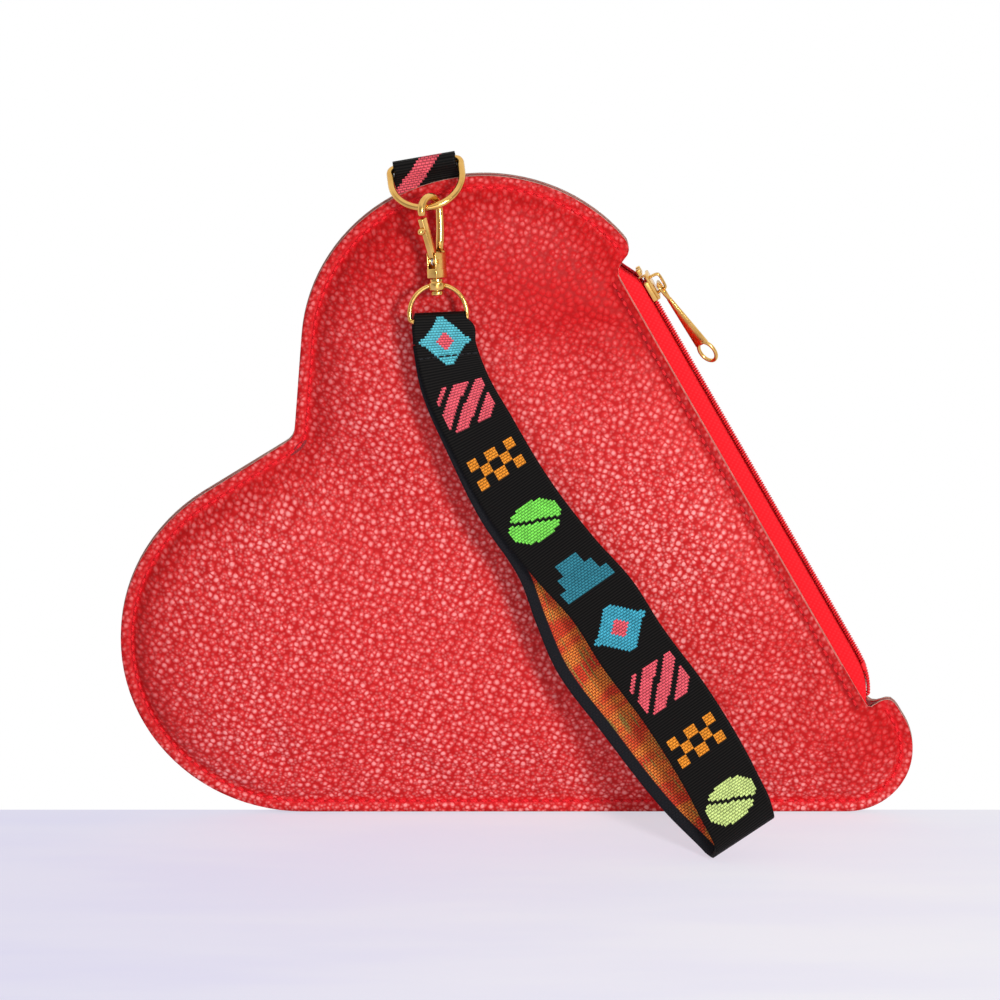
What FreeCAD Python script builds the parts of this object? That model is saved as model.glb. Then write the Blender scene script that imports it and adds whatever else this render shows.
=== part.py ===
import FreeCAD, Part
import math
import os

# A flat heart shaped purse with a zip in its upper right side and a wrist strap on a swivel hook.
# It stands on its lower left side, front towards -Y, with the origin on the flat of its back.
# All sizes are millimetres and live in the spreadsheet below.

doc = FreeCAD.newDocument("heart_purse")
sheet = doc.addObject("Spreadsheet::Sheet", "sizes")

driving_sizes = {
    # heart outline, measured from the point midway between the two lobe centres
    "lobe_radius": 55.3,
    "lobe_overlap": 1.5,
    "tip_radius": 20.0,
    "tip_drop": 160.0,
    "cleft_radius": 5.0,
    "cleft_rise": 40.5,
    # crowned front and back
    "panel_thickness": 1.2,
    "lining_thickness": 0.35,
    "layer_gap": 0.05,
    "hem_width": 4.5,
    "crown_reach": 38.0,
    "crown_tip_radius": 7.0,
    "front_crown": 10.5,
    "back_crown": 10.0,
    "lining_trim": 1.5,
    "rest_drop": 42.0,
    # sewing thread
    "thread_inset": 3.2,
    "thread_width": 0.7,
    "thread_height": 0.3,
    # recess for the zip, along the right side from where the lobe's round ends
    "recess_depth": 7.5,
    "recess_start": -4.5,
    "recess_lead": 3.0,
    "recess_end": 156.4,
    "recess_run_out": 1.6,
    "recess_margin": 14.0,
    "lining_recess_depth": 13.2,
    "zip_thread_inset": 11.0,
    # zip
    "chain_inset": 2.4,
    "coil_height": 1.4,
    "coil_width": 1.8,
    "coil_gap": 0.1,
    "tape_thickness": 0.5,
    "tape_edge_gap": 1.0,
    "tape_half_gap": 3.7,
    "tape_bend": 0.55,
    "tape_sewn_width": 5.0,
    "tape_sewn_rise": 2.65,
    "tape_start": -3.5,
    "tape_end": 151.0,
    "coil_end": 142.7,
    "top_stop_start": 0.0,
    "top_stop_length": 2.2,
    "bottom_stop_length": 2.5,
    "stop_gap": 0.3,
    # slider, bail and pull
    "slider_rest": 7.0,
    "slider_length": 8.4,
    "slider_width": 6.8,
    "slider_wing": 1.0,
    "slider_flange": 1.1,
    "slider_gap": 0.3,
    "slider_post_length": 2.6,
    "slider_post_width": 1.4,
    "bail_length": 6.4,
    "bail_width": 1.6,
    "bail_leg": 1.2,
    "bail_bar": 1.0,
    "bail_room": 2.3,
    "pull_eye_width": 4.8,
    "pull_eye_length": 6.0,
    "pull_arm": 0.9,
    "pull_thickness": 1.1,
    "pull_hinge_height": 1.15,
    "pull_hinge_offset": 0.3,
    "pull_plate_width": 2.6,
    "pull_ring_radius": 2.5,
    "pull_ring_wire": 0.7,
    "pull_length": 28.5,
    "pull_roll_angle": 60.0,
    "pull_lift_angle": 6.0,
    # webbing tab and D-ring at the top of the zip side lobe
    "tab_place_angle": 41.7,
    "tab_lean_angle": 49.0,
    "tab_width": 18.4,
    "tab_layer": 0.95,
    "tab_root": 9.0,
    "tab_reach": 6.0,
    "ring_wire_radius": 1.1,
    "ring_inner_width": 19.4,
    "ring_height": 16.5,
    "ring_corner_radius": 1.7,
    "ring_lean_angle": 55.0,
    "moving_gap": 0.3,
    # snap hook
    "hook_seat_gap": 0.8,
    "hook_tilt_angle": 17.0,
    "hook_lean_angle": 3.0,
    "hook_yaw_angle": 50.0,
    "crook_radius": 4.2,
    "hook_wire_radius": 1.25,
    "crook_tip": 1.5,
    "shank_top": 11.5,
    "shank_bottom": 20.5,
    "shank_left": 1.8,
    "shank_thickness": 4.2,
    "gate_slot": 2.7,
    "gate_pivot_drop": 15.5,
    "gate_pivot_offset": 0.6,
    "gate_length": 14.2,
    "gate_width": 2.2,
    "gate_thickness": 2.0,
    "gate_close_angle": 19.4,
    "gate_eye_radius": 1.4,
    "gate_hole_radius": 0.9,
    "gate_knob_drop": 3.7,
    "gate_knob_radius": 0.95,
    "gate_knob_reach": 3.2,
    "pin_radius": 0.7,
    "pin_overhang": 0.15,
    "pin_fit": 0.05,
    "spring_radius": 1.15,
    "spring_wire_radius": 0.2,
    "spring_pitch": 0.5,
    "spring_turns": 1.5,
    "spring_slot": 1.5,
    # swivel
    "post_offset": 1.2,
    "post_radius": 1.1,
    "post_head_radius": 1.9,
    "post_head_height": 1.1,
    "collar_radius": 2.5,
    "collar_height": 3.3,
    "loop_radius": 8.6,
    "loop_wire_radius": 0.75,
    "loop_leg": 2.3,
    # wrist strap
    "strap_width": 22.0,
    "strap_fold_width": 14.4,
    "strap_layer": 1.3,
    "strap_run": 88.5,
    "strap_lead": 25.3,
    "strap_ply_gap": 0.25,
    "strap_wrap_gap": 0.65,
    "strap_open_side": 9.5,
    "strap_open_depth": 11.0,
    "strap_end_reach": 2.6,
    "strap_butt_gap": 0.4,
    "strap_floor_gap": 0.3,
    "strap_turn_angle": 35.0,
    "strap_sewn_share": 0.8,
    "strap_sewn_place_share": 0.35,
}
for row, (word, value) in enumerate(driving_sizes.items(), 1):
    sheet.set("A%d" % row, word)
    sheet.set("B%d" % row, str(value))
    sheet.setAlias("B%d" % row, word)
doc.recompute()


def size(word):
    return float(sheet.get(word))


def vec(x=0.0, y=0.0, z=0.0):
    return FreeCAD.Vector(x, y, z)


def turn(axis, angle):
    return FreeCAD.Rotation(axis, angle)


def cell(words):
    """An expression for the spreadsheet: every word that is an alias gets the sheet's name."""
    out = []
    for token in words.split():
        out.append("sizes." + token if token in driving_sizes else token)
    return " ".join(out)


def bound(kind, label, at=("0", "0", "0"), rotation=None, **sizes_of):
    """A Part primitive whose sizes and position follow the sheet."""
    piece = doc.addObject(kind, label)
    if rotation is not None:
        piece.Placement = FreeCAD.Placement(vec(), rotation)
    for name, words in sizes_of.items():
        piece.setExpression(name, cell(words))
    for axis, words in zip("xyz", at):
        piece.setExpression("Placement.Base." + axis, cell(words))
    return piece


def fused(label, pieces):
    whole = doc.addObject("Part::MultiFuse", label)
    whole.Shapes = pieces
    return whole


def cut_from(label, base, tool):
    rest = doc.addObject("Part::Cut", label)
    rest.Base = base
    rest.Tool = tool
    return rest


def gathered(label, pieces):
    group = doc.addObject("Part::Compound", label)
    group.Links = pieces
    return group


def made(label, *shapes):
    """A piece whose form no primitive gives: its shape is worked out from the sheet."""
    piece = doc.addObject("Part::Feature", label)
    piece.Shape = Part.makeCompound(list(shapes))
    return piece


subparts = {}


def finish(piece, label, placement):
    piece.Label = label
    piece.Placement = placement
    subparts[label] = piece
    return piece


X_AXIS = vec(1, 0, 0)
Y_AXIS = vec(0, 1, 0)
Z_AXIS = vec(0, 0, 1)

# Heart frame: x to the right, y from the tip to the cleft, z out of the front.
lobe_offset = size("lobe_radius") - size("lobe_overlap")
lobe = vec(lobe_offset, 0)
tip = vec(0, -size("tip_drop"))
cleft = vec(0, size("cleft_rise"))
lobe_to_tip = lobe.sub(tip)
side_angle = math.atan2(lobe_to_tip.x, lobe_to_tip.y)
side_angle += math.asin((size("lobe_radius") - size("tip_radius")) / lobe_to_tip.Length)
side_out = vec(math.cos(side_angle), -math.sin(side_angle))
side_top = lobe + side_out * size("lobe_radius")

layer_gap = size("layer_gap")
panel_base = size("lining_thickness") + 2 * layer_gap
hem_top = panel_base + size("panel_thickness")
back_depth = hem_top + size("back_crown")

stand_angle = math.pi / 2 - side_angle
heart_x = vec(math.cos(stand_angle), 0, math.sin(stand_angle))
heart_y = vec(-math.sin(stand_angle), 0, math.cos(stand_angle))
heart_turn = FreeCAD.Rotation(heart_x, heart_y, vec(0, -1, 0), "ZXY")
rest_point = vec(0, -size("rest_drop"), -back_depth)
heart_place = FreeCAD.Placement(heart_turn.multVec(rest_point) * -1, heart_turn)
zip_in_heart = FreeCAD.Placement(side_top, turn(Z_AXIS, -90 - math.degrees(side_angle)))
zip_place = heart_place.multiply(zip_in_heart)


def heart_wire(inset, height, tip_round):
    """The heart's outline moved in by inset, with its tip rounded to tip_round, at a height."""
    lobe_round = size("lobe_radius") - inset
    cleft_round = size("cleft_radius") + inset
    tip_lift = (tip_round + inset - size("tip_radius")) / math.sin(side_angle)
    tip_centre = tip + vec(0, tip_lift)
    reach = cleft.sub(lobe)
    flank = math.atan2(reach.y, reach.x) + math.asin((lobe_round + cleft_round) / reach.Length)
    flank_out = vec(math.sin(flank), -math.cos(flank))
    right = [
        cleft - flank_out * cleft_round,
        lobe + flank_out * lobe_round,
        lobe + side_out * lobe_round,
        tip_centre + side_out * tip_round,
    ]
    lobe_middle = lobe + (flank_out + side_out).normalize() * lobe_round

    def left(point):
        return vec(-point.x, point.y)

    def line(a, b):
        return Part.LineSegment(a, b).toShape()

    def arc(a, b, c):
        return Part.Arc(a, b, c).toShape()

    edges = [
        line(right[0], right[1]),
        arc(right[1], lobe_middle, right[2]),
        line(right[2], right[3]),
        arc(right[3], tip_centre + vec(0, -tip_round), left(right[3])),
        line(left(right[3]), left(right[2])),
        arc(left(right[2]), left(lobe_middle), left(right[1])),
        line(left(right[1]), left(right[0])),
        arc(left(right[0]), cleft + vec(0, -cleft_round), right[0]),
    ]
    wire = Part.Wire(edges)
    wire.translate(vec(0, 0, height))
    return wire


def heart_prism(inset, low, high):
    face = Part.Face(heart_wire(inset, low, size("tip_radius") - inset))
    return face.extrude(vec(0, 0, high - low))


crown_inset_shares = (0.0, 0.10, 0.28, 0.54, 0.80, 1.0)
crown_height_shares = (0.0, 0.48, 0.70, 0.88, 0.97, 1.0)


def crown(base, height):
    """The swelling of one side, a loft from the hem line to a flat middle."""
    wires = []
    hem = size("hem_width")
    hem_round = size("tip_radius") - hem
    for inset_share, height_share in zip(crown_inset_shares, crown_height_shares):
        inset = hem + inset_share * (size("crown_reach") - hem)
        tip_round = hem_round + inset_share * (size("crown_tip_radius") - hem_round)
        wires.append(heart_wire(inset, base + height_share * height, tip_round))
    return Part.makeLoft(wires, True, False)


def recess(depth):
    """The notch for the zip, as a prism to cut with, in the heart frame."""
    deeper = depth - size("recess_depth")
    start = size("recess_start") - deeper
    end = size("recess_end") + deeper
    margin = size("recess_margin")
    lead_slope = size("recess_lead") / size("recess_depth")
    out_slope = size("recess_run_out") / size("recess_depth")
    points = [
        vec(start - lead_slope * (depth + margin), margin),
        vec(start, -depth),
        vec(end, -depth),
        vec(end + out_slope * (depth + margin), margin),
    ]
    points.append(points[0])
    face = Part.Face(Part.makePolygon(points))
    face.translate(vec(0, 0, -2 * back_depth))
    prism = face.extrude(vec(0, 0, 4 * back_depth))
    prism.Placement = zip_in_heart.multiply(prism.Placement)
    return prism


# Tab frame: x along the webbing's width, y out of the purse's edge, z out of the front.
tab_place_angle = math.radians(size("tab_place_angle"))
tab_out = vec(math.sin(tab_place_angle), math.cos(tab_place_angle))
tab_in_heart = FreeCAD.Placement(
    lobe + tab_out * size("lobe_radius"), turn(Z_AXIS, -size("tab_lean_angle"))
)
tab_place = heart_place.multiply(tab_in_heart)


def tab_room():
    half_width = size("tab_width") / 2 + layer_gap
    half_depth = size("tab_layer") + layer_gap
    length = size("tab_root") + size("tab_reach") + 2 * layer_gap
    room = Part.makeBox(2 * half_width, length, 2 * half_depth)
    room.translate(vec(-half_width, -size("tab_root") - layer_gap, -half_depth))
    room.Placement = tab_in_heart.multiply(room.Placement)
    return room


def shell(base, thickness, height, trim, depth):
    """One crowned layer with its flat hem, the zip's notch and room for the tab."""
    outer = heart_prism(trim, base, base + thickness).fuse(crown(base + thickness, height))
    layer = outer.cut(crown(base, height))
    return layer.cut(recess(depth)).cut(tab_room())


def to_back(shape):
    return shape.mirror(vec(), Z_AXIS)


# Front and back panels: crowned sheets of coated fabric with a flat hem.
panel_thickness = size("panel_thickness")
recess_depth = size("recess_depth")
front_shape = shell(panel_base, panel_thickness, size("front_crown"), 0.0, recess_depth)
back_shape = to_back(shell(panel_base, panel_thickness, size("back_crown"), 0.0, recess_depth))
finish(made("front_panel", front_shape), "front_panel", heart_place)
finish(made("back_panel", back_shape), "back_panel", heart_place)

# Linings: the same forms in thin cloth, cut back where the zip tape is sewn in.
lining_thickness = size("lining_thickness")
lining_depth = size("lining_recess_depth")
lining_trim = size("lining_trim")
front_lining = shell(layer_gap, lining_thickness, size("front_crown"), lining_trim, lining_depth)
back_lining = to_back(shell(layer_gap, lining_thickness, size("back_crown"), lining_trim, lining_depth))
finish(made("front_lining", front_lining), "front_lining", heart_place)
finish(made("back_lining", back_lining), "back_lining", heart_place)

# Edge thread: the seam's line of thread on the front hem and on the back hem.
thread_inset = size("thread_inset")
thread_top = hem_top + size("thread_height")
bead = heart_prism(thread_inset, hem_top, thread_top)
bead = bead.cut(heart_prism(thread_inset + size("thread_width"), hem_top, thread_top))
bead = bead.cut(recess(recess_depth + thread_inset))
finish(made("edge_thread", bead, to_back(bead)), "edge_thread", heart_place)


# Zip frame: x down the zip, y out of the purse, z out of the front.
def skin_height(shape, depth, x):
    """How far the outer face of a panel lies from the seam plane, in from the side by depth."""
    line = Part.makeLine(vec(x, -depth, -2 * back_depth), vec(x, -depth, 2 * back_depth))
    line.Placement = zip_in_heart
    met = shape.common(line)
    return max(abs(vertex.Z) for vertex in met.Vertexes)


def zip_thread(shape, side):
    """A straight row of thread on a panel, beside the zip."""
    length = size("recess_end") - size("recess_lead")
    width = size("thread_width")
    near = skin_height(shape, size("zip_thread_inset"), length / 2)
    far = skin_height(shape, size("zip_thread_inset") + width, length / 2)
    row = Part.makeBox(length, width, size("thread_height"))
    row.translate(vec(0, -width, layer_gap))
    row.rotate(vec(), X_AXIS, -math.degrees(math.atan2(far - near, width)))
    row.translate(vec(0, -size("zip_thread_inset"), near))
    return row if side > 0 else to_back(row)


finish(made("front_zip_thread", zip_thread(front_shape, 1)), "front_zip_thread", zip_place)
finish(made("back_zip_thread", zip_thread(back_shape, -1)), "back_zip_thread", zip_place)


def zip_tape(side):
    """One tape: flat under the coil, turned in beside it, then sewn under the panel's edge."""
    thick = size("tape_thickness")
    face = -size("chain_inset") - size("coil_height") / 2 - layer_gap
    turn_in = size("tape_half_gap")
    panel_edge = -recess_depth
    sewn_end = panel_edge - size("tape_sewn_width")
    sewn_top = turn_in + size("tape_sewn_rise")
    bend = size("tape_bend")
    points = [
        vec(0, face, size("tape_edge_gap")),
        vec(0, face, turn_in + thick - bend),
        vec(0, face - bend, turn_in + thick),
        vec(0, panel_edge, turn_in + thick),
        vec(0, sewn_end, sewn_top + thick),
        vec(0, sewn_end, sewn_top),
        vec(0, panel_edge, turn_in),
        vec(0, face - thick, turn_in),
        vec(0, face - thick, size("tape_edge_gap")),
    ]
    points.append(points[0])
    face_of = Part.Face(Part.makePolygon(points))
    face_of.translate(vec(size("tape_start"), 0, 0))
    tape = face_of.extrude(vec(size("tape_end") - size("tape_start"), 0, 0))
    return tape if side > 0 else to_back(tape)


finish(made("zip_front_tape", zip_tape(1)), "zip_front_tape", zip_place)
finish(made("zip_back_tape", zip_tape(-1)), "zip_back_tape", zip_place)

# Coils: the two rows of the closed chain, from the slider's post to the bottom stop.
coil_start = "slider_rest - slider_length / 2 + slider_post_length + slider_gap"
coil_low = "- chain_inset - coil_height / 2"
for label, across in (("zip_front_coil", "coil_gap"), ("zip_back_coil", "- coil_gap - coil_width")):
    row = bound(
        "Part::Box",
        label + "_row",
        (coil_start, coil_low, across),
        Length="coil_end - ( " + coil_start + " )",
        Width="coil_height",
        Height="coil_width",
    )
    finish(gathered(label, [row]), label, zip_place)

# Stops: a clamp on each tape's edge at the top, one across both coils at the bottom.
stops = []
for name, across in (("top_stop_a", "tape_edge_gap / 2"), ("top_stop_b", "- coil_gap - coil_width")):
    stop = bound(
        "Part::Box",
        name,
        ("top_stop_start", coil_low, across),
        Length="top_stop_length",
        Width="coil_height",
        Height="coil_gap + coil_width - tape_edge_gap / 2",
    )
    stops.append(stop)
finish(gathered("top_stops", stops), "zip_top_stops", zip_place)
bottom = bound(
    "Part::Box",
    "bottom_stop_block",
    ("coil_end + stop_gap", coil_low, "- coil_gap - coil_width"),
    Length="bottom_stop_length",
    Width="coil_height",
    Height="2 * ( coil_gap + coil_width )",
)
finish(gathered("bottom_stop", [bottom]), "zip_bottom_stop", zip_place)

# Slider: two wings joined by a post, with flanges that keep the coils in.
slider_place = zip_place.multiply(FreeCAD.Placement(vec(size("slider_rest"), 0, 0), turn(Z_AXIS, 0)))
tape_back = "- chain_inset - coil_height / 2 - layer_gap - tape_thickness"
wing_low = "- chain_inset + coil_height / 2 + slider_gap"
slider_pieces = [
    bound(
        "Part::Box",
        "slider_inner_wing",
        ("- slider_length / 2", tape_back + " - slider_gap - slider_wing", "- slider_width / 2"),
        Length="slider_length",
        Width="slider_wing",
        Height="slider_width",
    ),
    bound(
        "Part::Box",
        "slider_outer_wing",
        ("- slider_length / 2", wing_low, "- slider_width / 2"),
        Length="slider_length",
        Width="slider_wing",
        Height="slider_width",
    ),
    bound(
        "Part::Box",
        "slider_post",
        ("- slider_length / 2", tape_back + " - slider_gap", "- slider_post_width / 2"),
        Length="slider_post_length",
        Width="coil_height + layer_gap + tape_thickness + 2 * slider_gap",
        Height="slider_post_width",
    ),
]
for name, across in (("a", "slider_width / 2 - slider_flange"), ("b", "- slider_width / 2")):
    flange = bound(
        "Part::Box",
        "slider_flange_" + name,
        ("- slider_length / 2", coil_low + " + slider_gap", across),
        Length="slider_length",
        Width="coil_height",
        Height="slider_flange",
    )
    slider_pieces.append(flange)
finish(fused("slider_body", slider_pieces), "zip_slider", slider_place)

# Bail: the arch on the slider that the pull hangs from.
bail_foot = wing_low + " + slider_wing"
bail_pieces = [
    bound(
        "Part::Box",
        "bail_bar_block",
        ("- bail_length / 2", bail_foot + " + bail_room", "- bail_width / 2"),
        Length="bail_length",
        Width="bail_bar",
        Height="bail_width",
    )
]
for name, start in (("a", "- bail_length / 2"), ("b", "bail_length / 2 - bail_leg")):
    leg = bound(
        "Part::Box",
        "bail_leg_" + name,
        (start, bail_foot, "- bail_width / 2"),
        Length="bail_leg",
        Width="bail_room + bail_bar",
        Height="bail_width",
    )
    bail_pieces.append(leg)
finish(fused("bail", bail_pieces), "zip_bail", slider_place)

# Pull: an eye under the bail, a neck, and a plate that is turned and ends in a ring.
wing_top = -size("chain_inset") + size("coil_height") / 2 + size("slider_gap") + size("slider_wing")
hinge_at = vec(size("pull_hinge_offset"), wing_top + size("pull_hinge_height"), 0)
pull_turn = turn(Z_AXIS, size("pull_lift_angle"))
pull_place = slider_place.multiply(FreeCAD.Placement(hinge_at, pull_turn))
half_thick = "- pull_thickness / 2"
pull_pieces = [
    bound(
        "Part::Cylinder",
        "pull_eye_bar",
        ("0", "0", "- pull_eye_width / 2"),
        Radius="pull_thickness / 2",
        Height="pull_eye_width",
    ),
    bound(
        "Part::Box",
        "pull_bridge",
        ("pull_eye_length - pull_thickness", half_thick, "- pull_eye_width / 2"),
        Length="pull_thickness",
        Width="pull_thickness",
        Height="pull_eye_width",
    ),
    bound(
        "Part::Cylinder",
        "pull_neck",
        ("pull_eye_length - pull_thickness / 2", "0", "0"),
        turn(Y_AXIS, 90),
        Radius="pull_thickness / 2",
        Height="pull_eye_width",
    ),
]
for name, across in (("a", "pull_eye_width / 2 - pull_arm"), ("b", "- pull_eye_width / 2")):
    arm = bound(
        "Part::Box",
        "pull_arm_" + name,
        ("0", half_thick, across),
        Length="pull_eye_length",
        Width="pull_thickness",
        Height="pull_arm",
    )
    pull_pieces.append(arm)
plate = bound(
    "Part::Box",
    "pull_plate",
    ("pull_eye_length + pull_thickness", half_thick, "- pull_plate_width / 2"),
    Length="pull_length - pull_eye_length - pull_thickness - 2 * pull_ring_radius - pull_ring_wire",
    Width="pull_thickness",
    Height="pull_plate_width",
)
end_ring = bound(
    "Part::Torus",
    "pull_ring",
    ("pull_length - pull_ring_radius - pull_ring_wire", "0", "0"),
    turn(X_AXIS, 90),
    Radius1="pull_ring_radius",
    Radius2="pull_ring_wire",
)
blade = fused("pull_blade", [plate, end_ring])
blade.Placement = FreeCAD.Placement(vec(), turn(X_AXIS, size("pull_roll_angle")))
finish(fused("pull", pull_pieces + [blade]), "zip_pull", pull_place)

# Hanger tab: a fold of webbing sewn into the seam, round the bar of the D-ring.
roll_inner = "ring_wire_radius + moving_gap"
tab_flat = bound(
    "Part::Box",
    "tab_flat",
    ("- tab_width / 2", "- tab_root", "- tab_layer"),
    Length="tab_width",
    Width="tab_root + tab_reach",
    Height="2 * tab_layer",
)
tab_roll = bound(
    "Part::Cylinder",
    "tab_roll",
    ("- tab_width / 2", "tab_reach", "0"),
    turn(Y_AXIS, 90),
    Radius=roll_inner + " + tab_layer",
    Height="tab_width",
)
tab_bore = bound(
    "Part::Cylinder",
    "tab_bore",
    ("- tab_width", "tab_reach", "0"),
    turn(Y_AXIS, 90),
    Radius=roll_inner,
    Height="2 * tab_width",
)
tab = cut_from("tab", fused("tab_fold", [tab_flat, tab_roll]), tab_bore)
finish(tab, "hanger_tab", tab_place)

# D-ring: a bar in the tab's fold, two legs and a round bow.
ring_place = tab_place.multiply(
    FreeCAD.Placement(vec(0, size("tab_reach"), 0), turn(X_AXIS, -size("ring_lean_angle")))
)
ring_half = "( ring_inner_width / 2 + ring_wire_radius )"
corner_x = ring_half + " - ring_corner_radius"
ring_pieces = [
    bound(
        "Part::Cylinder",
        "ring_bar",
        ("- ( " + corner_x + " )", "0", "0"),
        turn(Y_AXIS, 90),
        Radius="ring_wire_radius",
        Height="2 * ( " + corner_x + " )",
    ),
    bound(
        "Part::Torus",
        "ring_bow",
        ("0", ring_half + " - ring_height", "0"),
        turn(Z_AXIS, 180),
        Radius1=ring_half,
        Radius2="ring_wire_radius",
        Angle3="180",
    ),
]
for name, sign, angle in (("right", "", 0), ("left", "-", 90)):
    corner = bound(
        "Part::Torus",
        "ring_corner_" + name,
        (sign + " ( " + corner_x + " )", "- ring_corner_radius", "0"),
        turn(Z_AXIS, angle),
        Radius1="ring_corner_radius",
        Radius2="ring_wire_radius",
        Angle3="90",
    )
    leg = bound(
        "Part::Cylinder",
        "ring_leg_" + name,
        (sign + " " + ring_half, "- ring_corner_radius", "0"),
        turn(X_AXIS, 90),
        Radius="ring_wire_radius",
        Height="ring_height - " + ring_half + " - ring_corner_radius",
    )
    ring_pieces += [corner, leg]
finish(fused("ring", ring_pieces), "d_ring", ring_place)

# Hook frame: z up the hook from the middle of its crook, x across the crook, y through it.
bow_point = ring_place.multVec(vec(0, -size("ring_height"), 0))
tilt = math.radians(size("hook_tilt_angle"))
lean = math.radians(size("hook_lean_angle"))
hook_up = vec(-math.sin(lean) * math.cos(tilt), math.sin(tilt), math.cos(lean) * math.cos(tilt))
level_x = (X_AXIS - hook_up * X_AXIS.dot(hook_up)).normalize()
level_turn = FreeCAD.Rotation(level_x, hook_up.cross(level_x), hook_up, "ZXY")
hook_turn = level_turn.multiply(turn(Z_AXIS, size("hook_yaw_angle")))
wire_seat = size("crook_radius") - size("hook_wire_radius") - size("ring_wire_radius")
wire_seat -= size("hook_seat_gap")
hook_place = FreeCAD.Placement(bow_point - hook_up * wire_seat, hook_turn)

# Hook body: a crook over the D-ring, a bar, a slotted shank and the swivel's post.
hook_pieces = [
    bound(
        "Part::Torus",
        "hook_crook",
        ("0", "0", "0"),
        turn(X_AXIS, 90),
        Radius1="crook_radius",
        Radius2="hook_wire_radius",
        Angle3="180",
    ),
    bound(
        "Part::Cylinder",
        "hook_bar",
        ("crook_radius", "0", "- shank_top - hook_wire_radius"),
        Radius="hook_wire_radius",
        Height="shank_top + hook_wire_radius",
    ),
    bound(
        "Part::Cylinder",
        "hook_tip",
        ("- crook_radius", "0", "- crook_tip"),
        Radius="hook_wire_radius",
        Height="crook_tip",
    ),
]
shank_block = bound(
    "Part::Box",
    "hook_shank_block",
    ("- shank_left", "- shank_thickness / 2", "- shank_bottom"),
    Length="shank_left + crook_radius + hook_wire_radius",
    Width="shank_thickness",
    Height="shank_bottom - shank_top",
)
gate_slot = bound(
    "Part::Box",
    "hook_slot",
    ("- 2 * shank_left", "- gate_thickness / 2 - moving_gap", "- gate_pivot_drop - gate_slot"),
    Length="2 * shank_left + gate_slot",
    Width="gate_thickness + 2 * moving_gap",
    Height="gate_pivot_drop + gate_slot",
)
pin_bore = bound(
    "Part::Cylinder",
    "hook_pin_bore",
    ("gate_pivot_offset", "shank_thickness", "- gate_pivot_drop"),
    turn(X_AXIS, 90),
    Radius="pin_radius + pin_fit",
    Height="2 * shank_thickness",
)
shank = cut_from("hook_shank", shank_block, fused("hook_cutters", [gate_slot, pin_bore]))
head_low = "- shank_bottom - collar_height - 2 * moving_gap - post_head_height"
post_pieces = [
    bound(
        "Part::Cylinder",
        "swivel_post",
        ("post_offset", "0", head_low),
        Radius="post_radius",
        Height="collar_height + 2 * moving_gap + post_head_height",
    ),
    bound(
        "Part::Cylinder",
        "swivel_head",
        ("post_offset", "0", head_low),
        Radius="post_head_radius",
        Height="post_head_height",
    ),
]
finish(fused("hook", hook_pieces + post_pieces + [shank]), "hook_body", hook_place)

# Gate pin: through both cheeks of the shank and the gate's eye.
pin = bound(
    "Part::Cylinder",
    "pin_rod",
    ("gate_pivot_offset", "shank_thickness / 2 + pin_overhang", "- gate_pivot_drop"),
    turn(X_AXIS, 90),
    Radius="pin_radius",
    Height="shank_thickness + 2 * pin_overhang",
)
finish(gathered("pin", [pin]), "gate_pin", hook_place)

# Gate: a lever from the pin to the crook's tip, with a thumb knob and room for its spring.
pivot = vec(size("gate_pivot_offset"), 0, -size("gate_pivot_drop"))
gate_turn = turn(Y_AXIS, -size("gate_close_angle"))
gate_place = hook_place.multiply(FreeCAD.Placement(pivot, gate_turn))
gate_pieces = [
    bound(
        "Part::Box",
        "gate_bar",
        ("- gate_width / 2", "- gate_thickness / 2", "0"),
        Length="gate_width",
        Width="gate_thickness",
        Height="gate_length",
    ),
    bound(
        "Part::Cylinder",
        "gate_eye",
        ("0", "gate_thickness / 2", "0"),
        turn(X_AXIS, 90),
        Radius="gate_eye_radius",
        Height="gate_thickness",
    ),
    bound(
        "Part::Cylinder",
        "gate_knob",
        ("- gate_knob_reach", "0", "gate_length - gate_knob_drop"),
        turn(Y_AXIS, 90),
        Radius="gate_knob_radius",
        Height="gate_knob_reach",
    ),
]
gate_hole = bound(
    "Part::Cylinder",
    "gate_hole",
    ("0", "gate_thickness", "0"),
    turn(X_AXIS, 90),
    Radius="gate_hole_radius",
    Height="2 * gate_thickness",
)
spring_room = bound(
    "Part::Box",
    "gate_spring_room",
    ("- gate_eye_radius", "- spring_slot / 2", "- gate_eye_radius"),
    Length="2 * gate_eye_radius",
    Width="spring_slot",
    Height="gate_eye_radius + spring_radius + 2 * spring_wire_radius",
)
gate_cutters = fused("gate_cutters", [gate_hole, spring_room])
finish(cut_from("gate", fused("gate_lever", gate_pieces), gate_cutters), "hook_gate", gate_place)

# Gate spring: an open coil round the pin, inside the gate's eye.
spring_height = size("spring_pitch") * size("spring_turns")
helix = Part.makeHelix(size("spring_pitch"), spring_height, size("spring_radius"))
spring_end = Part.makeCircle(size("spring_wire_radius"), vec(size("spring_radius"), 0, 0), Y_AXIS)
spring_shape = Part.Wire(helix).makePipeShell([Part.Wire(spring_end)], True, True)
spring_shape.translate(vec(0, 0, -spring_height / 2))
spring_shape.rotate(vec(), X_AXIS, 90)
spring_shape.translate(pivot)
finish(made("gate_spring", spring_shape), "gate_spring", hook_place)

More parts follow.
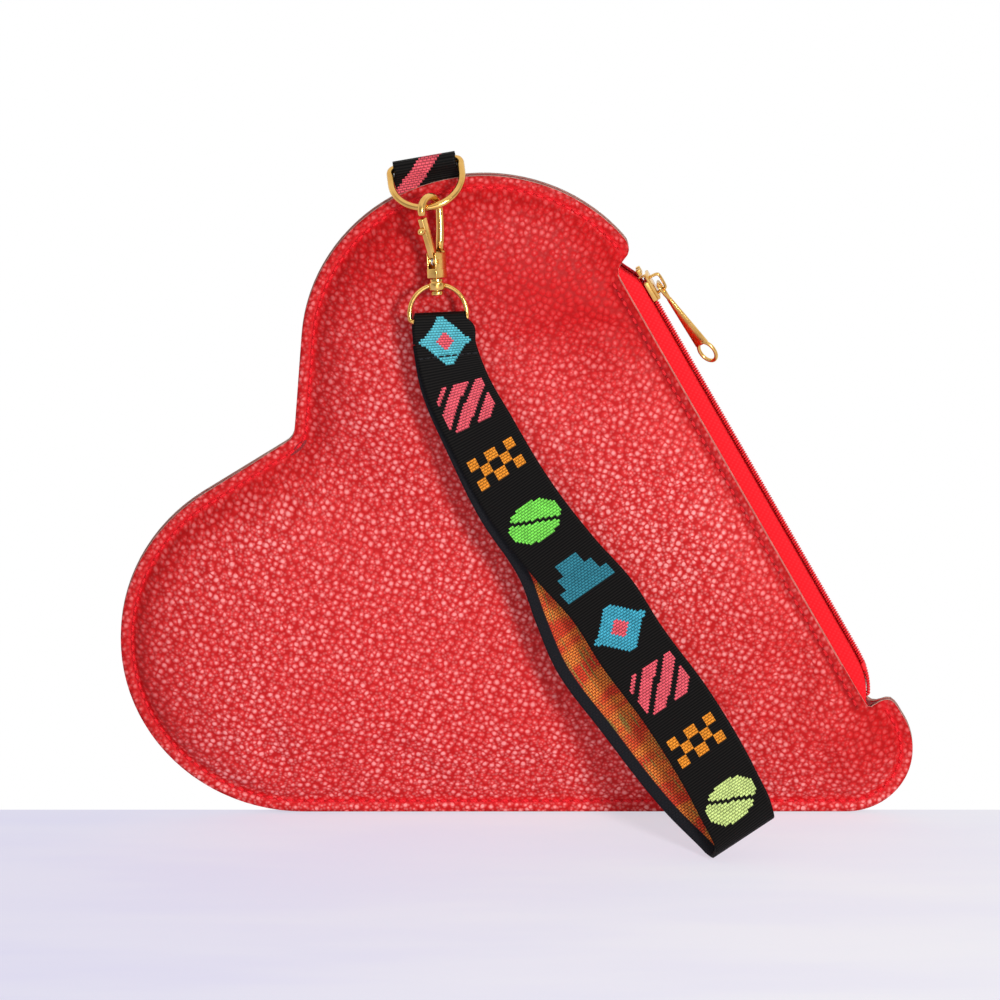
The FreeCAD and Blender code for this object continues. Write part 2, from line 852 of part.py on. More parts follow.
# Swivel loop: a collar that turns on the hook's post and a loop for the strap.
swivel_place = FreeCAD.Placement(hook_place.multVec(vec(size("post_offset"), 0, 0)), level_turn)
collar_low = "- shank_bottom - moving_gap - collar_height"
arch_z = "- shank_bottom - moving_gap - collar_height / 2 - loop_radius"
bar_z = arch_z + " - loop_leg"
loop_pieces = [
    bound(
        "Part::Cylinder",
        "loop_collar",
        ("0", "0", collar_low),
        Radius="collar_radius",
        Height="collar_height",
    ),
    bound(
        "Part::Torus",
        "loop_arch",
        ("0", "0", arch_z),
        turn(X_AXIS, 90),
        Radius1="loop_radius",
        Radius2="loop_wire_radius",
        Angle3="180",
    ),
    bound(
        "Part::Cylinder",
        "loop_bar",
        ("- loop_radius", "0", bar_z),
        turn(Y_AXIS, 90),
        Radius="loop_wire_radius",
        Height="2 * loop_radius",
    ),
]
for name, sign in (("right", ""), ("left", "- ")):
    leg = bound(
        "Part::Cylinder",
        "loop_leg_" + name,
        (sign + "loop_radius", "0", bar_z),
        Radius="loop_wire_radius",
        Height="loop_leg",
    )
    ball = bound(
        "Part::Sphere",
        "loop_corner_" + name,
        (sign + "loop_radius", "0", bar_z),
        Radius="loop_wire_radius",
    )
    loop_pieces += [leg, ball]
loop_bore = bound(
    "Part::Cylinder",
    "loop_bore",
    ("0", "0", collar_low + " - moving_gap"),
    Radius="post_radius + moving_gap",
    Height="collar_height + 2 * moving_gap",
)
finish(cut_from("loop", fused("loop_whole", loop_pieces), loop_bore), "swivel_loop", swivel_place)

# Wrist strap: one band of webbing, folded over the loop's bar and round at its lower end.
bar_drop = size("shank_bottom") + size("moving_gap") + size("collar_height") / 2
bar_drop += size("loop_radius") + size("loop_leg")
bar_point = swivel_place.multVec(vec(0, 0, -bar_drop))
floor_level = heart_place.multVec(vec(-lobe_offset, 0, 0)).z - size("lobe_radius")
strap_x_shares = (0.0, 0.01, 0.038, 0.13, 0.26, 0.432, 0.558, 0.654, 0.815, 0.963, 1.0)
strap_z_shares = (0.0, 0.048, 0.118, 0.228, 0.356, 0.47, 0.552, 0.636, 0.762, 0.928, 1.0)
strap_y_shares = (0.0, 0.032, 0.061, 0.134, 0.278, 0.404, 0.495, 0.639, 0.82, 0.964, 1.0)
strap_open_shares = (0.0, 0.0, 0.0, 0.0, 0.03, 0.2, 0.5, 0.85, 1.0, 0.75, 0.35)
strap_turn_shares = (0.0, 0.06, 0.36, 0.84, 1.03, 1.06, 1.03, 0.97, 0.97, 0.97, 1.0)
last = len(strap_x_shares) - 1
strap_width = size("strap_width")
strap_layer = size("strap_layer")
bar_angle = math.atan2(level_x.z, level_x.x)
end_angle = math.radians(size("strap_turn_angle"))
end_dip = math.sin(end_angle) * strap_width / 2
strap_drop = bar_point.z - floor_level - size("strap_floor_gap")
strap_drop -= end_dip + size("strap_end_reach") + strap_layer
wrap_radius = size("loop_wire_radius") + size("strap_wrap_gap") + strap_layer / 2
ply = strap_layer + size("strap_ply_gap")


def strap_station(index, side):
    """Middle, width direction and width of the band, on its front run or its rear run."""
    angle = bar_angle + strap_turn_shares[index] * (end_angle - bar_angle)
    across = vec(math.cos(angle), 0, math.sin(angle))
    middle = bar_point + vec(
        strap_x_shares[index] * size("strap_run"),
        -strap_y_shares[index] * size("strap_lead"),
        -strap_z_shares[index] * strap_drop,
    )
    middle += vec(0, -side * (ply / 2 if index else wrap_radius), 0)
    if side < 0:
        middle += across * (-strap_open_shares[index] * size("strap_open_side"))
        middle += vec(0, strap_open_shares[index] * size("strap_open_depth"), 0)
    widening = min(1.0, strap_z_shares[index] / strap_z_shares[2]) ** 2
    width = size("strap_fold_width") + widening * (strap_width - size("strap_fold_width"))
    return middle, across, width


rear_start = strap_station(1, -1)
stations = [
    (rear_start[0] + vec(0, 0, size("strap_butt_gap")), rear_start[1], rear_start[2]),
    strap_station(0, -1),
]
over_bar = strap_station(0, 1)
for degrees in (-45, 0, 45):
    angle = math.radians(degrees)
    round_bar = vec(0, -math.sin(angle) * wrap_radius, math.cos(angle) * wrap_radius)
    stations.append((bar_point + round_bar, over_bar[1], over_bar[2]))
for index in range(last + 1):
    stations.append(strap_station(index, 1))
front_end = stations[-1]
rear_end = strap_station(last, -1)
run_on = (front_end[0] - stations[-2][0]).normalize() * size("strap_end_reach")
for back_share, reach_share in ((0.2, 0.7), (0.5, 1.0), (0.8, 0.7)):
    fold = front_end[0] + (rear_end[0] - front_end[0]) * back_share + run_on * reach_share
    stations.append((fold, front_end[1], front_end[2]))
for index in range(last, 0, -1):
    stations.append(strap_station(index, -1))


def strap_corners(index):
    """The four corners of the band's cross-section at a station, square to its run."""
    middle, across, width = stations[index]
    before = stations[max(index - 1, 0)][0]
    after = stations[min(index + 1, len(stations) - 1)][0]
    along = (after - before).normalize()
    across = (across - along * across.dot(along)).normalize()
    half = across * (width / 2)
    skin = along.cross(across) * (strap_layer / 2)
    return [middle + half + skin, middle - half + skin, middle - half - skin, middle + half - skin]


def patch(a, b, c, d):
    """A ruled face between the edge a to b and the edge d to c."""
    surface = Part.BSplineSurface()
    ends = [2, 2]
    span = [0, 1]
    surface.buildFromPolesMultsKnots([[a, b], [d, c]], ends, ends, span, span, False, False, 1, 1)
    return surface.toShape()


sections = [strap_corners(index) for index in range(len(stations))]
strap_faces = [patch(*sections[0]), patch(*sections[-1])]
for above, below in zip(sections, sections[1:]):
    for one in range(4):
        strap_faces.append(patch(above[one - 1], above[one], below[one], below[one - 1]))
strap_skin = Part.makeShell(strap_faces)
strap_skin.sewShape()
strap_shape = Part.makeSolid(strap_skin)
if strap_shape.Volume < 0:
    strap_shape.reverse()
finish(made("wrist_strap", strap_shape), "wrist_strap", FreeCAD.Placement())

# Strap thread: the row sewn across both runs just under the loop.
row_length = size("strap_sewn_share") * size("strap_fold_width")
rows = []
for side in (1, -1):
    near, across, width = strap_station(1, side)
    far = strap_station(2, side)[0]
    along = (far - near).normalize() * side
    across = (across - along * across.dot(along)).normalize()
    out = along.cross(across)
    row = Part.makeBox(row_length, size("thread_width"), size("thread_height"))
    row.translate(vec(-row_length / 2, -size("thread_width") / 2, strap_layer / 2 + layer_gap))
    sewn_at = near + (far - near) * size("strap_sewn_place_share")
    sewn_turn = FreeCAD.Rotation(across, along * -1, out, "ZXY")
    row.Placement = FreeCAD.Placement(sewn_at, sewn_turn).multiply(row.Placement)
    rows.append(row)
finish(made("strap_thread", *rows), "strap_thread", FreeCAD.Placement())

doc.recompute()
for piece in doc.Objects:
    if "Invalid" in piece.State or "Error" in piece.State:
        raise RuntimeError("%s has no result: %s" % (piece.Name, piece.State))
for label, piece in subparts.items():
    if piece.Shape.isNull() or not piece.Shape.isValid() or not piece.Shape.Solids:
        raise RuntimeError("%s has no valid shape" % label)

os.makedirs("parts", exist_ok=True)
for label, piece in subparts.items():
    piece.Shape.exportStep("parts/" + label + ".step")
    box = piece.Shape.BoundBox
    low = "%7.1f %7.1f %7.1f" % (box.XMin, box.YMin, box.ZMin)
    high = "%7.1f %7.1f %7.1f" % (box.XMax, box.YMax, box.ZMax)
    contents = "%d solids %9.1f mm3" % (len(piece.Shape.Solids), piece.Shape.Volume)
    print("%-17s %s %s %s" % (label, contents, low, high))
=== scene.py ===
import math

import bmesh
import bpy
import numpy as np
from mathutils import Matrix, Vector, geometry
from mathutils.bvhtree import BVHTree


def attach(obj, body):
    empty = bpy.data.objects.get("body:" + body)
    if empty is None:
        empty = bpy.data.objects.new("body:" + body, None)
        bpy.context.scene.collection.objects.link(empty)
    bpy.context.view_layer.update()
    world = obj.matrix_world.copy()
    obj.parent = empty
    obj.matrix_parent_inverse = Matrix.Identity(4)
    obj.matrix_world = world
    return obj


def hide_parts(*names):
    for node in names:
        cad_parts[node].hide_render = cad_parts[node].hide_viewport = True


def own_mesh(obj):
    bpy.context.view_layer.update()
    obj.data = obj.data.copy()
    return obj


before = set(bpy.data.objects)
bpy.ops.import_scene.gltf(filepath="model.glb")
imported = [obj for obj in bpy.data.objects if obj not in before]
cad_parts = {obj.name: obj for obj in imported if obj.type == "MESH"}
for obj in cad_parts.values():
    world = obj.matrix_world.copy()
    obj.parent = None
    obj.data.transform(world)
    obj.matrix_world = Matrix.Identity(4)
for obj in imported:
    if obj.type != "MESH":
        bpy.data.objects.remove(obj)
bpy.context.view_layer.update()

# Front and back panels: two sheets of pebbled coated fabric, sewn together flat along the hem and
# swelling in the middle. The right side is cut back to leave a mouth for the zip.
# Sizes are millimetres in the heart's own frame: x across, y from tip to cleft, z out of the front.
LOBE_RADIUS = 55.3
LOBE_CENTRE = np.array((53.8, 0.0))
TIP_RADIUS = 20.0
TIP_CENTRE = np.array((0.0, -160.0))
CLEFT_RADIUS = 5.0
CLEFT_CENTRE = np.array((0.0, 40.5))
SIDE_ANGLE = -30.66
MOUTH_DEPTH = 7.5
MOUTH_TOP = -4.5
MOUTH_LOW = 156.4
MOUTH_TOP_ANGLE = 10.2
MOUTH_TOP_CORNER = ((-7.2, -1.3), (-5.8, -2.2), (-5.0, -3.6), (-4.4, -5.6), (-3.7, -7.0), (-2.2, -7.5))
MOUTH_LOW_CORNER = (
    (154.8, -7.5), (156.0, -6.9), (156.4, -5.6), (156.7, -2.4), (157.6, -0.9), (159.6, -0.1),
)
HEM = 4.5
HEM_TOP = 1.65
SEAM_INSET = 3.5
ZIP_ROW_INSET = 10.0
PANEL_THICKNESS = 1.2
FRONT_CROWN = 10.5
BACK_CROWN = 10.0
CROWN_EASE = 11.5
MOUTH_EASE = 5.2
EASED_IN = (-46, -8)
EASED_TOP = (-34, 4)
EASED_LOW = (146, 168)
OUTLINE_GAP = 1.5
RING_GAP = 1.8
RING_INSETS = (1.5, 3.0, 4.5, 6.0)
FIELD_GAP = 2.4
FIELD_ROW_GAP = FIELD_GAP * 0.866
FIELD_ACROSS = (-112, 112)
FIELD_ALONG = (-182, 60)
FIELD_INSET = 7.4
EDGE_CLEARANCE = 1.1
HEM_PINNED = 5.0
SETTLE_FRAMES = 20
FRONT_SETTLE = 0.0022
BACK_SETTLE = 0.0006


def frame_of(origin, x_axis, y_axis, z_axis):
    """The move from a piece's own frame, in millimetres, to the part's frame, in metres."""
    axes = Matrix((x_axis, y_axis, z_axis)).transposed().to_4x4()
    return Matrix.Translation(Vector(origin) / 1000) @ axes @ Matrix.Scale(0.001, 4)


MIDDLE_Y = -11.65
TOWARDS_FRONT = (0, -1, 0)
HEART_AXES = (0.50988, 0, 0.86024), (-0.86024, 0, 0.50988), TOWARDS_FRONT
ZIP_AXES = (0.48004, 0, -0.87725), (0.87725, 0, 0.48004), TOWARDS_FRONT
heart_frame = frame_of((-36.13026, MIDDLE_Y, 21.41505), *HEART_AXES)
zip_frame = frame_of((39.81312, MIDDLE_Y, 94.24243), *ZIP_AXES)


def heading(angle):
    return np.array((math.cos(math.radians(angle)), math.sin(math.radians(angle))))


side_out = heading(SIDE_ANGLE)
side_down = np.array((side_out[1], -side_out[0]))
side_top = LOBE_CENTRE + side_out * LOBE_RADIUS


def on_side(x, y):
    """A point given along the zip's side and out from it, in the heart's frame."""
    return side_top + side_down * x + side_out * y


def arc(centre, radius, start, end, steps=40):
    return [centre + heading(angle) * radius for angle in np.linspace(start, end, steps)]


def spaced(points, gap):
    """The same closed line with evenly spaced points."""
    loop = np.vstack([points, points[:1]])
    along = np.concatenate([[0], np.cumsum(np.linalg.norm(np.diff(loop, axis=0), axis=1))])
    marks = np.linspace(0, along[-1], max(8, round(along[-1] / gap)), endpoint=False)
    return np.column_stack([np.interp(marks, along, loop[:, axis]) for axis in (0, 1)])


def heart_line(inset, gap, mouth=False):
    """The heart's outline moved in by inset, with or without the zip's mouth cut out of it."""
    lobe_radius = LOBE_RADIUS - inset
    cleft_radius = CLEFT_RADIUS + inset
    reach = CLEFT_CENTRE - LOBE_CENTRE
    flank = math.degrees(math.atan2(reach[1], reach[0])) - 90
    flank += math.degrees(math.asin((lobe_radius + cleft_radius) / np.linalg.norm(reach)))
    cleft = arc(CLEFT_CENTRE, cleft_radius, -90, flank - 180, 6)
    tip = arc(TIP_CENTRE, TIP_RADIUS - inset, SIDE_ANGLE, -90, 16)
    right = cleft + arc(LOBE_CENTRE, lobe_radius, flank, SIDE_ANGLE) + tip
    left = [point * (-1, 1) for point in reversed(right[1:-1])]
    if mouth:
        lobe = arc(LOBE_CENTRE, lobe_radius, flank, SIDE_ANGLE + MOUTH_TOP_ANGLE)
        right = cleft + lobe + [on_side(*at) for at in MOUTH_TOP_CORNER + MOUTH_LOW_CORNER] + tip
    return spaced(np.array(right + left), gap)


def distance_to(points, line):
    """How far each point lies from a closed line of close points."""
    nearest = np.full(len(points), 1e9)
    for start, end in zip(line, np.roll(line, -1, axis=0)):
        run = end - start
        share = np.clip((points - start) @ run / (run @ run), 0, 1)
        nearest = np.minimum(nearest, np.linalg.norm(points - start - share[:, None] * run, axis=1))
    return nearest


def inside(points, line):
    """Which points lie inside a closed line."""
    odd = np.zeros(len(points), bool)
    for (ax, ay), (bx, by) in zip(line, np.roll(line, -1, axis=0)):
        if ay == by:
            continue
        crosses = (ay > points[:, 1]) != (by > points[:, 1])
        odd ^= crosses & (points[:, 0] < (bx - ax) * (points[:, 1] - ay) / (by - ay) + ax)
    return odd


sewn_edge = heart_line(0, OUTLINE_GAP)
cut_edge = heart_line(0, OUTLINE_GAP, mouth=True)


def panel_points():
    """Rings of points along the hem and an even field inside it, as a flat sheet of triangles."""
    columns = np.arange(*FIELD_ACROSS, FIELD_GAP)
    rows = np.arange(*FIELD_ALONG, FIELD_ROW_GAP)
    field = np.array([(x + (k % 2) * FIELD_GAP / 2, y) for k, y in enumerate(rows) for x in columns])
    field = field[inside(field, sewn_edge)]
    field = field[distance_to(field, sewn_edge) > FIELD_INSET]
    loose = np.vstack([heart_line(inset, RING_GAP) for inset in RING_INSETS] + [field])
    loose = loose[inside(loose, cut_edge)]
    loose = loose[distance_to(loose, cut_edge) > EDGE_CLEARANCE]
    flat = np.vstack([cut_edge, loose])
    border = [(k, (k + 1) % len(cut_edge)) for k in range(len(cut_edge))]
    found = geometry.delaunay_2d_cdt([Vector(p) for p in flat], border, [], 1, 1e-4)
    return np.array([tuple(p) for p in found[0]]), found[2]


def smooth_step(values, low, high):
    share = np.clip((values - low) / (high - low), 0, 1)
    return share * share * (3 - 2 * share)


flat_points, flat_faces = panel_points()
from_seam = distance_to(flat_points, sewn_edge)
from_side = (flat_points - side_top) @ side_out
along_side = (flat_points - side_top) @ side_down
by_mouth = smooth_step(from_side, *EASED_IN) * smooth_step(along_side, *EASED_TOP)
by_mouth *= 1 - smooth_step(along_side, *EASED_LOW)


def spots(*marks):
    """The sum of soft round spots, each with its height, centre, reach, direction and stretch."""
    total = np.zeros(len(flat_points))
    for height, centre, reach, angle, stretch in marks:
        apart = flat_points - centre
        far = apart @ heading(angle) / (reach * stretch)
        wide = apart @ heading(angle + 90) / reach
        total += height * np.exp(-(far**2) - wide**2)
    return total


def swelling(crown):
    """How far a panel stands out of the flat: gently from the hem, more steeply at the mouth."""
    ease = CROWN_EASE + by_mouth * (MOUTH_EASE - CROWN_EASE)
    return crown * (1 - np.exp(-np.maximum(from_seam - HEM, 0) / ease))


# The front's dents and one bulge, as it stands.
front_rise = swelling(FRONT_CROWN) + spots(
    (-2.6, on_side(16, -33), 15, SIDE_ANGLE - 118, 2.0),
    (-1.6, on_side(78, -36), 13, SIDE_ANGLE - 90, 2.6),
    (-2.2, (-2.0, 18.0), 15, 100, 1.5),
    (-2.4, (3.0, -132.0), 17, 90, 1.6),
    (0.9, (-44.0, -12.0), 26, 40, 1.3),
)
back_rise = swelling(BACK_CROWN)

# Painted light on the grain, per point: where the surface faces the light, most where it bulges and low
# down, the tops get a painted highlight and the reds their lit copy;
# in the hollows, on the upper right and on the slope by the hem they get painted shade. Near the tip the
# grain is flatter and shows fewer pale tops.
upwards = np.array([axis[2] for axis in HEART_AXES[:2]])
low_edge = smooth_step(-flat_points @ upwards, 66, 96)
lit_tops_and_flat_grain = 0.95 + 0.45 * low_edge + spots(
    (0.4, (23.0, -84.0), 24, 90, 1.6),
    (-0.92, (85.0, -14.0), 25, 104, 1.9),
    (-0.45, (66.0, 40.0), 15, 150, 1.6),
    (-0.5, on_side(118, -20), 9, SIDE_ANGLE - 90, 4.0),
    (-0.8, on_side(168, -15), 14, SIDE_ANGLE, 1.6),
)
# Painted shade on the slope inside the hem, deepest about 5 mm in and gone by 18 mm; the hem's flat strip
# keeps a middle level and the low edge stays lit.
hem_light_level = 0.55 * (1 - smooth_step(from_seam, 2.0, 5.0))
slope_shade = 0.38 + 0.62 * np.maximum(smooth_step(from_seam, 5, 18), low_edge)
lit_tops_and_flat_grain = np.clip(lit_tops_and_flat_grain, 0, 1.3) * np.maximum(hem_light_level, slope_shade)
from_zip_row = np.where((along_side > -3) & (along_side < 156), abs(from_side + ZIP_ROW_INSET), 99)
from_rows = abs(from_seam - SEAM_INSET)
by_cut = (from_side > -MOUTH_DEPTH - 3) & (along_side > MOUTH_TOP) & (along_side < MOUTH_LOW)
from_mouth = np.where(by_cut, distance_to(flat_points, cut_edge), 9)


def new_piece(name, shape, place, *finishes):
    """Makes an object from a bmesh drawn in its own frame, in millimetres."""
    bmesh.ops.transform(shape, matrix=place, verts=shape.verts)
    mesh = bpy.data.meshes.new(name)
    shape.to_mesh(mesh)
    shape.free()
    piece = bpy.data.objects.new(name, mesh)
    bpy.context.scene.collection.objects.link(piece)
    for finish in finishes:
        mesh.materials.append(finish)
    mesh.shade_smooth()
    return piece


def step(tree, kind, sockets, **settings):
    """Adds a shader node; sockets gives an input's value or the output that feeds it."""
    made = tree.nodes.new("ShaderNode" + kind)
    for name, value in settings.items():
        setattr(made, name, value)
    for name, value in sockets.items():
        if isinstance(value, bpy.types.NodeSocket):
            tree.links.new(value, made.inputs[name])
        else:
            made.inputs[name].default_value = value
    return made.outputs


def math_step(tree, operation, first, second=0.0):
    return step(tree, "Math", {0: first, 1: second}, operation=operation)[0]


def ramp(tree, value, low, high, start=0.0, end=1.0):
    """A smooth change from start to end while value goes from low to high."""
    sockets = {0: value, 1: low, 2: high, 3: start, 4: end}
    return step(tree, "MapRange", sockets, interpolation_type="SMOOTHSTEP")[0]


def mix(tree, share, first, second):
    """A colour between two colours."""
    made = tree.nodes.new("ShaderNodeMix")
    made.data_type = "RGBA"
    for number, value in ((0, share), (6, first), (7, second)):
        if isinstance(value, bpy.types.NodeSocket):
            tree.links.new(value, made.inputs[number])
        elif number == 0:
            made.inputs[number].default_value = value
        else:
            made.inputs[number].default_value = (*value, 1)
    return made.outputs[2]


def new_finish(name, **constants):
    """A material with its Principled shader, whose plain numbers are set on its own sockets."""
    finish = bpy.data.materials.new(name)
    finish.use_nodes = True
    shader = finish.node_tree.nodes["Principled BSDF"]
    for socket, value in constants.items():
        shader.inputs[socket.replace("_", " ")].default_value = value
    return finish, finish.node_tree, shader


def object_place(tree):
    return step(tree, "TexCoord", {})["Object"]


def painted(tree, name):
    """A mark that the mesh itself carries."""
    return step(tree, "Attribute", {}, attribute_name=name)


def feed(tree, output, shader, socket):
    tree.links.new(output, shader.inputs[socket])


def raise_surface(tree, shader, height, distance, strength=1.0):
    """Turns a height into the shader's normal."""
    sockets = {"Height": height, "Distance": distance, "Strength": strength}
    feed(tree, step(tree, "Bump", sockets)[0], shader, "Normal")


def dress(tree, shader, colour, roughness, height, distance, strength=1.0):
    """Gives the shader its colour, its roughness and its relief."""
    feed(tree, colour, shader, "Base Color")
    feed(tree, roughness, shader, "Roughness")
    raise_surface(tree, shader, height, distance, strength)


def new_effect(name, **inputs):
    """A node group for an effect of the finishes, with its named inputs."""
    group = bpy.data.node_groups.new(name, "ShaderNodeTree")
    for word, kind in inputs.items():
        group.interface.new_socket(word, in_out="INPUT", socket_type="NodeSocket" + kind)
    return group, group.nodes.new("NodeGroupInput").outputs


def give_out(group, **values):
    """Names what an effect gives out."""
    kinds = {"VALUE": "NodeSocketFloat", "RGBA": "NodeSocketColor"}
    for word, value in values.items():
        group.interface.new_socket(word, in_out="OUTPUT", socket_type=kinds[value.type])
    leave = group.nodes.new("NodeGroupOutput").inputs
    for word, value in values.items():
        group.links.new(value, leave[word])
    return group


def pebble_group():
    """Pebbled grain: rounded tops of uneven size, smaller ones between them, and narrow creases."""
    group, entry = new_effect("pebble_grain", Place="Vector", Pebbles="Float")
    x, _, z = step(group, "SeparateXYZ", {0: entry["Place"]})
    flat = step(group, "CombineXYZ", {0: x, 1: z})[0]
    warp = step(group, "TexNoise", {"Vector": flat, "Scale": 260.0, "Detail": 3.0})["Color"]
    warp = step(group, "VectorMath", {0: warp, 1: (0.5, 0.5, 0.5)}, operation="SUBTRACT")[0]
    warp = step(group, "VectorMath", {0: warp, "Scale": 0.0008}, operation="SCALE")[0]
    flat = step(group, "VectorMath", {0: flat, 1: warp}, operation="ADD")[0]
    flat = step(group, "Mapping", {"Vector": flat, "Rotation": (0, 0, 0.45)})[0]
    cells = {"Vector": flat, "Scale": entry["Pebbles"], "Randomness": 0.76}
    nearest = step(group, "TexVoronoi", cells, feature="F1", voronoi_dimensions="2D")
    second = step(group, "TexVoronoi", cells, feature="F2", voronoi_dimensions="2D")["Distance"]
    depth = math_step(group, "SUBTRACT", second, nearest["Distance"])
    uneven = step(group, "SeparateColor", {0: nearest["Color"]})[0]
    uneven = ramp(group, uneven, 0.0, 1.0, -0.07, 0.18)
    rounded = ramp(group, math_step(group, "ADD", nearest["Distance"], uneven), 0.02, 0.42, 1.0, 0.0)
    tops = math_step(group, "MULTIPLY", rounded, ramp(group, depth, 0.0, 0.42))
    small_cells = {"Vector": flat, "Scale": math_step(group, "MULTIPLY", entry["Pebbles"], 1.7)}
    small = step(group, "TexVoronoi", small_cells, feature="F1", voronoi_dimensions="2D")["Distance"]
    tops = math_step(group, "MAXIMUM", tops, ramp(group, small, 0.05, 0.5, 0.28, 0.0))
    lines = ramp(group, depth, 0.0, 0.3, 0.14, 0.0)
    creases = ramp(group, math_step(group, "ADD", nearest["Distance"], lines), 0.22, 0.72)
    height = ramp(group, nearest["Distance"], 0.06, 0.62, 1.0, 0.0)
    patches = step(group, "TexNoise", {"Vector": entry["Place"], "Scale": 26.0, "Detail": 2.0})
    patches = ramp(group, patches[0], 0.36, 0.66)
    return give_out(group, Tops=tops, Creases=creases, Height=height, Patches=patches)


pebble_grain = pebble_group()
PEBBLES_PER_METRE = 465.0
# Darker reds for the grain's creases: painted shade, in shaded and lit copies.
CREASE_SHADE_REDS = (0.45, 0.003, 0.004), (0.55, 0.010, 0.011)
# Shaded and lit copies of the fabric's red, and the pale pink of a painted highlight on the grain's tops.
PEBBLE_SHADED_AND_LIT_REDS = (0.62, 0.006, 0.008), (0.74, 0.031, 0.032)
TOP_HIGHLIGHT_PINK = (1.0, 0.36, 0.35)
HEM_GROOVE_RED = (0.74, 0.008, 0.014)
# Dark red of painted shade in the furrow beside the zip's stitch row.
ZIP_GROOVE_SHADE_RED = (0.34, 0.004, 0.006)
CUT_PINK = (0.88, 0.34, 0.28)
BACKING_BROWNS = (0.46, 0.19, 0.15), (0.62, 0.38, 0.31)


def pebbled_finish():
    """Red coated fabric: creases darkened with painted shade, pale tops as a painted highlight, reds in
    shaded and lit copies, a groove where the seam pulls it in, darkened with painted shade along the zip.
    """
    finish, tree, shader = new_finish("pebbled_red", Specular_IOR_Level=0.14)
    sockets = {"Place": object_place(tree), "Pebbles": PEBBLES_PER_METRE}
    grain = step(tree, "Group", sockets, node_tree=pebble_grain)
    # The painted light mask picks between the shaded and lit reds and sets how strong the tops' painted
    # highlight is.
    light_and_flat_grain = painted(tree, "light_and_flat_grain")["Fac"]
    light_and_flat_share = ramp(tree, light_and_flat_grain, 0.1, 0.9)
    # The grain's creases take darker reds: painted shade.
    crease = mix(tree, light_and_flat_share, *CREASE_SHADE_REDS)
    colour = mix(tree, grain["Creases"], mix(tree, light_and_flat_share, *PEBBLE_SHADED_AND_LIT_REDS), crease)
    # Pale tops: painted highlight, strongest where the surface faces the light.
    highlit_tops = math_step(tree, "MULTIPLY", ramp(tree, grain["Patches"], 0.0, 1.0, 0.82, 1.08), light_and_flat_grain)
    highlit_tops = math_step(tree, "MULTIPLY", highlit_tops, grain["Tops"])
    colour = mix(tree, highlit_tops, colour, TOP_HIGHLIGHT_PINK)
    hem_groove = ramp(tree, painted(tree, "seam")["Fac"], 0.3, 1.6, 1.0, 0.0)
    colour = mix(tree, math_step(tree, "MULTIPLY", hem_groove, 0.8), colour, HEM_GROOVE_RED)
    # The furrow by the zip's stitch row is darkened: painted shade.
    zip_groove = ramp(tree, painted(tree, "zip_row")["Fac"], 0.4, 1.9, 1.0, 0.0)
    colour = mix(tree, math_step(tree, "MULTIPLY", zip_groove, 0.9), colour, ZIP_GROOVE_SHADE_RED)
    cut = ramp(tree, painted(tree, "mouth")["Fac"], 0.2, 0.55, 0.75, 0.0)
    colour = mix(tree, cut, colour, CUT_PINK)
    groove = math_step(tree, "MAXIMUM", hem_groove, zip_groove)
    height = math_step(tree, "SUBTRACT", grain["Height"], groove)
    dress(tree, shader, colour, ramp(tree, grain["Tops"], 0.0, 1.0, 0.52, 0.38), height, 0.0004, 0.45)
    return finish


def raw_edge_finish():
    """The cut edge of the fabric: the brownish fibres of its backing."""
    finish, tree, shader = new_finish("raw_edge", Roughness=0.85)
    fibres = step(tree, "TexNoise", {"Vector": object_place(tree), "Scale": 900.0, "Detail": 2.0})[0]
    feed(tree, mix(tree, ramp(tree, fibres, 0.3, 0.7), *BACKING_BROWNS), shader, "Base Color")
    raise_surface(tree, shader, fibres, 0.0001)
    return finish


pebbled_red = pebbled_finish()
raw_edge = raw_edge_finish()


def cloth_settle(sheet, pinned, most):
    """Lets the sewn sheet swell a little as cloth, then keeps it within a given distance."""
    before = np.array([v.co for v in sheet.data.vertices])
    held = sheet.vertex_groups.new(name="sewn")
    held.add([int(k) for k in np.flatnonzero(pinned)], 1.0, "REPLACE")
    cloth = sheet.modifiers.new("settle", "CLOTH")
    cloth.settings.quality = 5
    cloth.settings.mass = 0.25
    cloth.settings.vertex_group_mass = "sewn"
    cloth.settings.tension_stiffness = 12
    cloth.settings.compression_stiffness = 12
    cloth.settings.bending_stiffness = 0.6
    cloth.settings.shrink_min = -0.014
    cloth.settings.use_pressure = True
    cloth.settings.uniform_pressure_force = 2.0
    cloth.settings.effector_weights.gravity = 0
    cloth.collision_settings.use_collision = False
    cloth.point_cache.frame_end = SETTLE_FRAMES
    for number in range(1, SETTLE_FRAMES + 1):
        bpy.context.scene.frame_set(number)
    settled = sheet.evaluated_get(bpy.context.evaluated_depsgraph_get())
    after = np.array([v.co for v in settled.data.vertices])
    sheet.modifiers.remove(cloth)
    sheet.vertex_groups.clear()
    bpy.context.scene.frame_set(1)
    moved = after - before
    length = np.maximum(np.linalg.norm(moved, axis=1, keepdims=True), 1e-9)
    kept = before + moved / length * (most * np.tanh(length / most))
    sheet.data.vertices.foreach_set("co", kept.astype(np.float32).ravel())
    sheet.data.update()


